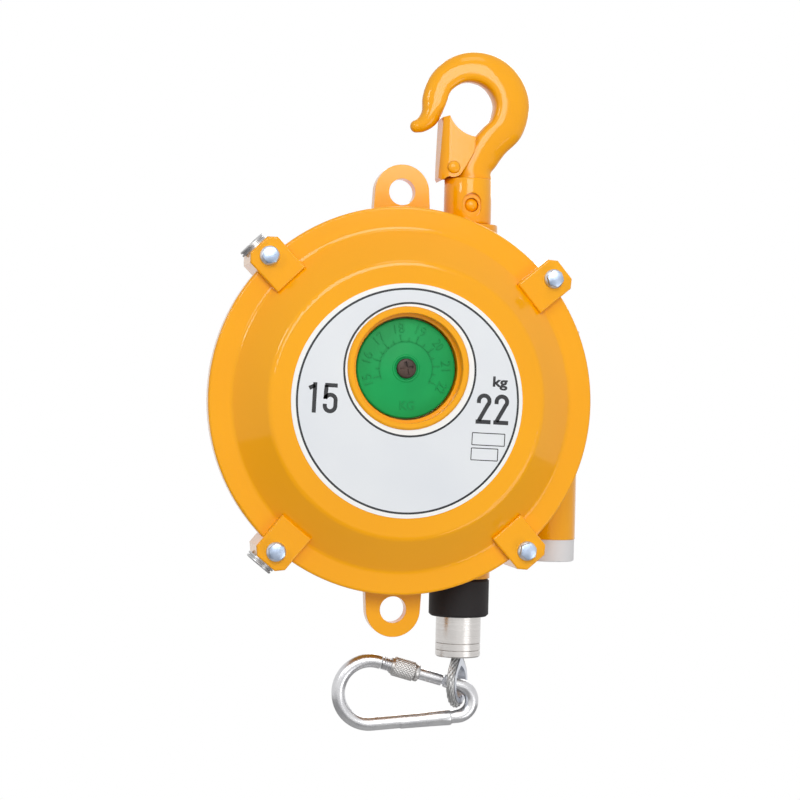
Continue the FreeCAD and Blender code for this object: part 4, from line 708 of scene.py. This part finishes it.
def hook_head():
    """The swivel head: a sleeve on a stem, with a round-ended pocket over each end of its pin."""
    bm = bmesh.new()
    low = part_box("hook_head")[0][2]
    bore_foot = HEAD_TOP - BORE_DEPTH
    lathe(bm, [(0, low), (6.6 * MM, low), (7.0 * MM, low + 0.4 * MM), (7.0 * MM, HEAD_FOOT),
               (HEAD_RADIUS - 1.2 * MM, HEAD_FOOT), (HEAD_RADIUS - 0.4 * MM, HEAD_FOOT + 0.4 * MM),
               (HEAD_RADIUS, HEAD_FOOT + 1.2 * MM), (HEAD_RADIUS, HEAD_TOP - 1.0 * MM),
               (HEAD_RADIUS - 0.3 * MM, HEAD_TOP - 0.3 * MM), (HEAD_RADIUS - 1.0 * MM, HEAD_TOP),
               (HEAD_BORE, HEAD_TOP), (HEAD_BORE, bore_foot), (0, bore_foot)], 128)
    pockets = []
    foot = PIN_HEIGHT - POCKET_RISE / 2
    for side in (-1, 1):
        pocket = bmesh.new()
        place = pointed((0, side, 0), (0, side * (HEAD_RADIUS - 2.1 * MM), foot))
        bmesh.ops.create_circle(pocket, cap_ends=True, radius=POCKET_RADIUS, segments=48, matrix=place)
        for vert in pocket.verts:
            vert.co.z += POCKET_RISE if vert.co.z > foot else 0.0
        solid = bmesh.ops.extrude_face_region(pocket, geom=pocket.faces[:])["geom"]
        bmesh.ops.translate(pocket, vec=(0, side * 6 * MM, 0),
                            verts=[item for item in solid if isinstance(item, bmesh.types.BMVert)])
        bmesh.ops.recalc_face_normals(pocket, faces=pocket.faces)
        pockets.append(pocket)
    drill = bmesh.new()
    bmesh.ops.create_cone(drill, cap_ends=True, segments=48, radius1=4.0 * MM, radius2=4.0 * MM,
                          depth=4 * HEAD_RADIUS, matrix=pointed((0, 1, 0), (0, 0, PIN_HEIGHT)))
    new_piece("swivel_head", carve(bm, *pockets, drill), "yellow_paint", "hook", nodes=("hook_head",))


def hook_pin():
    """The pin through head and hook, riveted over at both ends."""
    bm = bmesh.new()
    reach = HEAD_RADIUS - 1.5 * MM
    half = [(0, reach), (1.6 * MM, reach - 0.2 * MM), (2.8 * MM, reach - 0.8 * MM),
            (3.5 * MM, reach - 1.6 * MM), (3.9 * MM, reach - 2.4 * MM)]
    lathe(bm, [(radius, -height) for radius, height in half] + half[::-1], 48,
          pointed((0, 1, 0), (0, 0, PIN_HEIGHT)))
    new_piece("head_pin", bm, "yellow_paint", "hook", nodes=("hook_pin",))


CREST_INWARD, BOWL_RADIUS, NOSE_LENGTH, NOSE_HEADING, ROUND = 0.38, 14, 3.5 * MM, 15, 2.1
BOWL_ANGLES = (172, 153, 135, 112, 90, 67, 45, 22, 0, -28)


def forged_hook():
    """The forged hook: its crest set inward, with a curled nose and a thick neck."""
    # each row has the section's middle, half width, half depth, heading and squareness
    rows = [(-31.2, -12.6, 3.6, 3.6, NOSE_HEADING, ROUND), (-28.4, -11.6, 4.3, 4.3, 25, ROUND),
            (-24.6, -8.6, 5.2, 5.2, 55, ROUND), (-22.2, -4.0, 5.9, 5.6, 78, ROUND)]
    for angle in BOWL_ANGLES:
        turn = math.radians(angle)
        half = 8.8 + 1.75 * math.cos(turn)
        out = BOWL_RADIUS + half
        rows.append((out * math.cos(turn), out * math.sin(turn), half, half * 0.8, angle - 90, 2.4))
    rows += [(14.4, -19.2, 10.0, 8.6, -134, 2.35), (7.6, -28.0, 10.4, 8.5, -122, 2.25),
             (3.0, -36.0, 10.5, 8.5, -98, 2.2), (2.6, -41.9, 10.7, 8.6, -90, 2.15),
             (0.0, -43.4, 9.4, 8.6, -90, 2.2), (0.0, -59.9, 9.4, 9.4, -90, 2.0)]
    rings = []
    for x, z, half, deep, heading, square in smooth_rows(rows, 6):
        turn = math.radians(heading)
        centre, across = Vector((x, 0, z)), Vector((-math.sin(turn), 0, math.cos(turn)))
        ring = []
        for step in range(56):
            angle = math.tau * step / 56
            wide, thick = (math.copysign(abs(part) ** (2 / square), part)
                           for part in (math.cos(angle), math.sin(angle)))
            wide -= CREST_INWARD * min(1, max(0, square - ROUND) / 0.2) * (1 - wide * wide)
            ring.append((centre + across * half * wide + Vector((0, deep * thick, 0))) * MM)
        rings.append(ring)
    tip, nose = rings[0], []
    middle = sum(tip, Vector()) / len(tip)
    turn = math.radians(NOSE_HEADING)
    ahead = -Vector((math.cos(turn), 0, math.sin(turn))) * NOSE_LENGTH
    for step in range(7, 0, -1):
        angle = math.pi / 2 * step / 7.2
        nose.append([middle + (point - middle) * math.cos(angle) + ahead * math.sin(angle) for point in tip])
    bm = bmesh.new()
    skin(bm, nose + rings)
    bmesh.ops.recalc_face_normals(bm, faces=bm.faces)
    lathe(bm, [(0, -4.0 * MM), (4.2 * MM, -4.0 * MM), (4.2 * MM, 4.0 * MM), (0, 4.0 * MM)], 40,
          pointed((0, 1, 0), RIVET))
    box(bm, (9 * MM, 8 * MM, 8.4 * MM), Matrix.Translation(RIVET + Vector((4.5 * MM, 0, 0))))
    new_piece("forged_hook", bm, "yellow_paint", "hook", nodes=("top_hook",), smooth=60.0)


LINK_PIVOT, BAR_SLOPE, BAR_DROP = Vector((0, 0, -342.8)) * MM, math.radians(5.5), 9.0 * MM


def link_collar():
    """The swelling of the link's lower bar, which ends in a step before the small bend."""
    along = Vector((math.cos(BAR_SLOPE), 0, math.sin(BAR_SLOPE)))
    middle = LINK_PIVOT + Vector((math.sin(BAR_SLOPE), 0, -math.cos(BAR_SLOPE))) * BAR_DROP
    bm = bmesh.new()
    lathe(bm, [(3.4 * MM, -34 * MM), (3.91 * MM, -34 * MM), (4.2 * MM, -20 * MM), (4.5 * MM, -10 * MM),
               (4.7 * MM, -5.5 * MM), (4.6 * MM, -4.7 * MM), (4.2 * MM, -4.2 * MM),
               (3.4 * MM, -4.0 * MM)], 64, pointed(along, middle))
    new_piece("link_collar", bm, "link_zinc", "link", smooth=40.0)


def latch_rivet():
    """The latch's rivet, with a domed head on each side."""
    bm = bmesh.new()
    reach = 10.5 * MM
    half = [(0, reach + 1.3 * MM), (1.4 * MM, reach + 1.2 * MM), (2.6 * MM, reach + 0.9 * MM),
            (3.4 * MM, reach + 0.4 * MM), (3.7 * MM, reach), (2.5 * MM, reach)]
    lathe(bm, [(radius, -height) for radius, height in half] + half[::-1], 40, pointed((0, 1, 0), RIVET))
    new_piece("latch_rivet_heads", bm, "yellow_paint", "hook", nodes=("latch_rivet",))


# --- rope, eye and link ----------------------------------------------------------------
ROPE, STRANDS, EYE_LAY, RUN_LAY = 2.38 * MM, 6, 26.0 * MM, 13.0 * MM
EYE_SPREAD, EYE_REACH, EYE_TURN = 2.88 * MM, 12.18 * MM, math.radians(60)


def even_route(points, step):
    """Points at one spacing along straight runs between points."""
    route, spare = [points[0]], 0.0
    for start, end in zip(points, points[1:]):
        length, heading = (end - start).length, (end - start).normalized()
        at = step - spare
        while at <= length:
            route.append(start + heading * at)
            at += step
        spare = length - (at - step)
    return route


def eye_route():
    """The middle of the rope: down from the ferrule, round the thimble and back up."""
    low, high = (corner[2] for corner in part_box("rope_eye"))
    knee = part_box("stop_sleeve")[0][2] - 0.3 * MM
    seat = low + EYE_REACH + ROPE
    away = Vector((-EYE_SPREAD, 0, seat - knee))
    lean = math.atan2(away.x, -away.z) + math.asin(EYE_REACH / away.length)
    corner = Vector((EYE_SPREAD, 0, knee))
    heading = Vector((math.sin(lean), 0, -math.cos(lean)))
    touch = corner + heading * math.sqrt(away.length ** 2 - EYE_REACH ** 2)
    soft = 2.5 * MM
    bend = geometry.interpolate_bezier(corner + Vector((0, 0, soft)), corner, corner,
                                       corner + heading * soft, 8)
    right = [Vector((EYE_SPREAD, 0, high))] + [Vector(point) for point in bend] + [touch]
    end = math.atan2(touch.z - seat, touch.x)
    turns = [end + (-math.pi / 2 - end) * index / 24 for index in range(1, 25)]
    right += [Vector((EYE_REACH * math.cos(turn), 0, seat + EYE_REACH * math.sin(turn))) for turn in turns]
    left = [Vector((-point.x, 0, point.z)) for point in right[:-1]]
    turned = Matrix.Rotation(EYE_TURN, 3, "Z")
    return even_route([turned @ point for point in right + left[::-1]], 0.6 * MM)


def lay_strands(bm, route, plane, lay):
    """The rope's strands, wound round a route that lies in a plane."""
    for strand in range(STRANDS):
        points, travelled = [], 0.0
        for index, point in enumerate(route):
            before, after = route[max(index - 1, 0)], route[min(index + 1, len(route) - 1)]
            heading = (after - before).normalized()
            other = heading.cross(plane).normalized()
            travelled += (point - before).length
            angle = math.tau * (strand / STRANDS + travelled / lay)
            points.append(point + (plane * math.cos(angle) + other * math.sin(angle)) * ROPE * 0.63)
        sweep(bm, points, ROPE * 0.36)


def rope_eye():
    """The rope's eye, strand by strand."""
    bm = bmesh.new()
    plane = Matrix.Rotation(EYE_TURN, 3, "Z") @ Vector((0, 1, 0))
    lay_strands(bm, eye_route(), plane, EYE_LAY)
    new_piece("eye_strands", bm, "rope", "load_end", nodes=("rope_eye",), smooth=60.0)


def rope_run():
    """The rope from the drum to the ferrule, as one fixed straight run of strands on no body; the real rope
    draws out of the case as the load end falls.
    """
    low, high = (corner[2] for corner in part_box("rope_run"))
    bm = bmesh.new()
    route = even_route([Vector((0, 0, high)), Vector((0, 0, low))], 0.8 * MM)
    lay_strands(bm, route, Vector((0, 1, 0)), RUN_LAY)
    piece = new_piece("drawn_rope", bm, "rope", None, nodes=("rope_run",), smooth=60.0)
    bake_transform(piece)


KNURL_ROWS, KNURL_STEP, KNURL_RISE, KNURL_LINES, KNURL_SLANT = 36, 0.34 * MM, 0.25 * MM, 20, 3.4


def lock_nut():
    """The gate's nut: a knurled barrel between two plain turned collars."""
    low, high = (Vector(corner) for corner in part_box("lock_nut"))
    axis = -Vector(joint_of("nut_slide")["axis"])
    half, outer, bore = 8.5 * MM, 5.6 * MM, 4.15 * MM
    bm = bmesh.new()
    start = -half + 3.2 * MM
    rows = [(outer - KNURL_RISE, start + KNURL_STEP * row) for row in range(KNURL_ROWS)]
    end = rows[-1][1]
    lathe(bm, [(3.5 * MM, -half), (outer - 1.0 * MM, -half), (outer - 0.5 * MM, -half + 0.5 * MM),
               (outer - 0.5 * MM, -half + 2.2 * MM), (outer - 0.9 * MM, -half + 2.4 * MM),
               (outer - 0.5 * MM, start - 0.25 * MM)] + rows
          + [(outer - 0.5 * MM, end + 0.25 * MM), (outer - 1.0 * MM, end + 0.9 * MM),
             (outer - 1.0 * MM, half - 0.3 * MM), (outer - 1.3 * MM, half), (bore, half),
             (bore, -half + 4.0 * MM), (3.5 * MM, -half + 4.0 * MM)], 160)
    for vert in bm.verts:
        radius = vert.co.xy.length
        if abs(radius - outer + KNURL_RISE) < 0.01 * MM:
            around = math.atan2(vert.co.y, vert.co.x) * KNURL_LINES
            along = vert.co.z / MM * KNURL_SLANT
            rise = max(math.sin(around + along), math.sin(around - along)) * KNURL_RISE
            vert.co.xy = vert.co.xy * (1 + rise / radius)
    new_piece("knurled_nut", bm, "nut_zinc", "nut", pointed(axis, (low + high) / 2), ("lock_nut",), 50.0)


PITCH, THREAD_TURNS, THREAD_START = 1.25 * MM, 5, 35.0 * MM


def gate_thread():
    """The thread on the end of the gate that the nut is screwed along."""
    pivot = Vector(joint_of("gate_swing")["pos_m"])
    axis = -Vector(joint_of("nut_slide")["axis"])
    bm = bmesh.new()
    steps = 40
    root, crest = 3.2 * MM, 3.95 * MM
    verts = [bm.verts.new(corner) for corner in
             ((root, 0, -0.6 * MM), (crest, 0, -0.08 * MM), (crest, 0, 0.08 * MM), (root, 0, 0.6 * MM))]
    edges = [bm.edges.new(pair) for pair in zip(verts, verts[1:] + verts[:1])]
    spun = bmesh.ops.spin(bm, geom=verts + edges, cent=(0, 0, 0), axis=(0, 0, 1),
                          dvec=(0, 0, PITCH / steps), angle=math.tau * THREAD_TURNS,
                          steps=steps * THREAD_TURNS, use_merge=False, use_duplicate=False)
    bmesh.ops.contextual_create(bm, geom=[item for item in spun["geom_last"]
                                          if isinstance(item, bmesh.types.BMVert)])
    bmesh.ops.contextual_create(bm, geom=verts)
    new_piece("gate_thread", bm, "link_zinc", "gate", pointed(axis, pivot + axis * THREAD_START), (), 25.0)


# --- camera, light and floor -----------------------------------------------------------
def camera():
    """A long lens, a little to the left of the dial and turned a degree."""
    side, away, roll = math.radians(-10.2), 1.2, math.radians(1.28)
    data = bpy.data.cameras.new("camera")
    data.sensor_width, data.lens = 36.0, 96.4
    data.clip_end = 30.0
    data.shift_x, data.shift_y = -0.0009, 0.001
    item = bpy.data.objects.new("camera", data)
    bpy.context.scene.collection.objects.link(item)
    right = Vector((math.cos(side), math.sin(side), 0))
    back = Vector((math.sin(side), -math.cos(side), 0))
    basis = Matrix((right, (0, 0, 1), back)).transposed().to_4x4()
    item.matrix_world = Matrix.Translation(CASE + back * away) @ basis @ Matrix.Rotation(roll, 4, "Z")
    bpy.context.scene.camera = item


def lamp(name, place, aim, size, power):
    """A soft square lamp that points at a place."""
    data = bpy.data.lights.new(name, "AREA")
    data.shape, data.size, data.energy = "SQUARE", size, power
    item = bpy.data.objects.new(name, data)
    bpy.context.scene.collection.objects.link(item)
    item.location = place
    item.rotation_euler = (Vector(aim) - Vector(place)).to_track_quat("-Z", "Y").to_euler()


def surroundings():
    """White all round to the eye and to metal, a pale floor below, and five soft lamps."""
    world = bpy.data.worlds.new("studio")
    bpy.context.scene.world = world
    world.use_nodes = True
    tree = world.node_tree
    back = tree.nodes["Background"]
    path = tree.nodes.new("ShaderNodeLightPath")
    seen = path.outputs["Is Camera Ray"]
    for ray in ("Is Glossy Ray", "Is Transmission Ray"):
        either = tree.nodes.new("ShaderNodeMath")
        either.operation = "MAXIMUM"
        tree.links.new(seen, either.inputs[0])
        tree.links.new(path.outputs[ray], either.inputs[1])
        seen = either.outputs[0]
    level = tree.nodes.new("ShaderNodeMapRange")
    level.inputs["To Min"].default_value, level.inputs["To Max"].default_value = 0.35, 1.0
    tree.links.new(seen, level.inputs["Value"])
    tree.links.new(level.outputs[0], back.inputs["Strength"])
    back.inputs["Color"].default_value = (1, 1, 1, 1)
    bm = bmesh.new()
    bmesh.ops.create_grid(bm, x_segments=1, y_segments=1, size=6.0,
                          matrix=Matrix.Translation((0, 0.2, -2.1)))
    mesh = bpy.data.meshes.new("floor")
    bm.to_mesh(mesh)
    bm.free()
    floor = bpy.data.objects.new("floor", mesh)
    bpy.context.scene.collection.objects.link(floor)
    finish = Finish("pale_floor", (0.92, 0.92, 0.92), 0.8, Emission_Strength=0.6)
    finish.set(Emission_Color=finish.node("ShaderNodeLightPath", {}, {}, "Is Camera Ray"))
    floor.data.materials.append(finish.material)
    aim = (CASE.x, CASE.y, CASE.z)
    lamp("key", (-0.05, -1.6, 0.52), aim, 0.86, 14.0)
    lamp("side", (-1.2, -1.1, 0.5), aim, 0.3, 3.2)
    lamp("fill", (0.9, -1.3, -0.9), aim, 0.8, 5.0)
    lamp("top", (0.1, -0.8, 1.2), aim, 0.5, 1.8)
    lamp("back", (0.6, 1.5, 0.6), aim, 1.0, 9.0)
    bpy.context.scene.view_settings.view_transform = "Standard"


camera()
dress_nodes()
plate_print()
dial()
dial_screw()
cover_bolts()
ear_plugs()
worm_cap()
hook_head()
hook_pin()
forged_hook()
latch_rivet()
link_collar()
rope_eye()
rope_run()
lock_nut()
gate_thread()
surroundings()

bpy.context.view_layer.update()
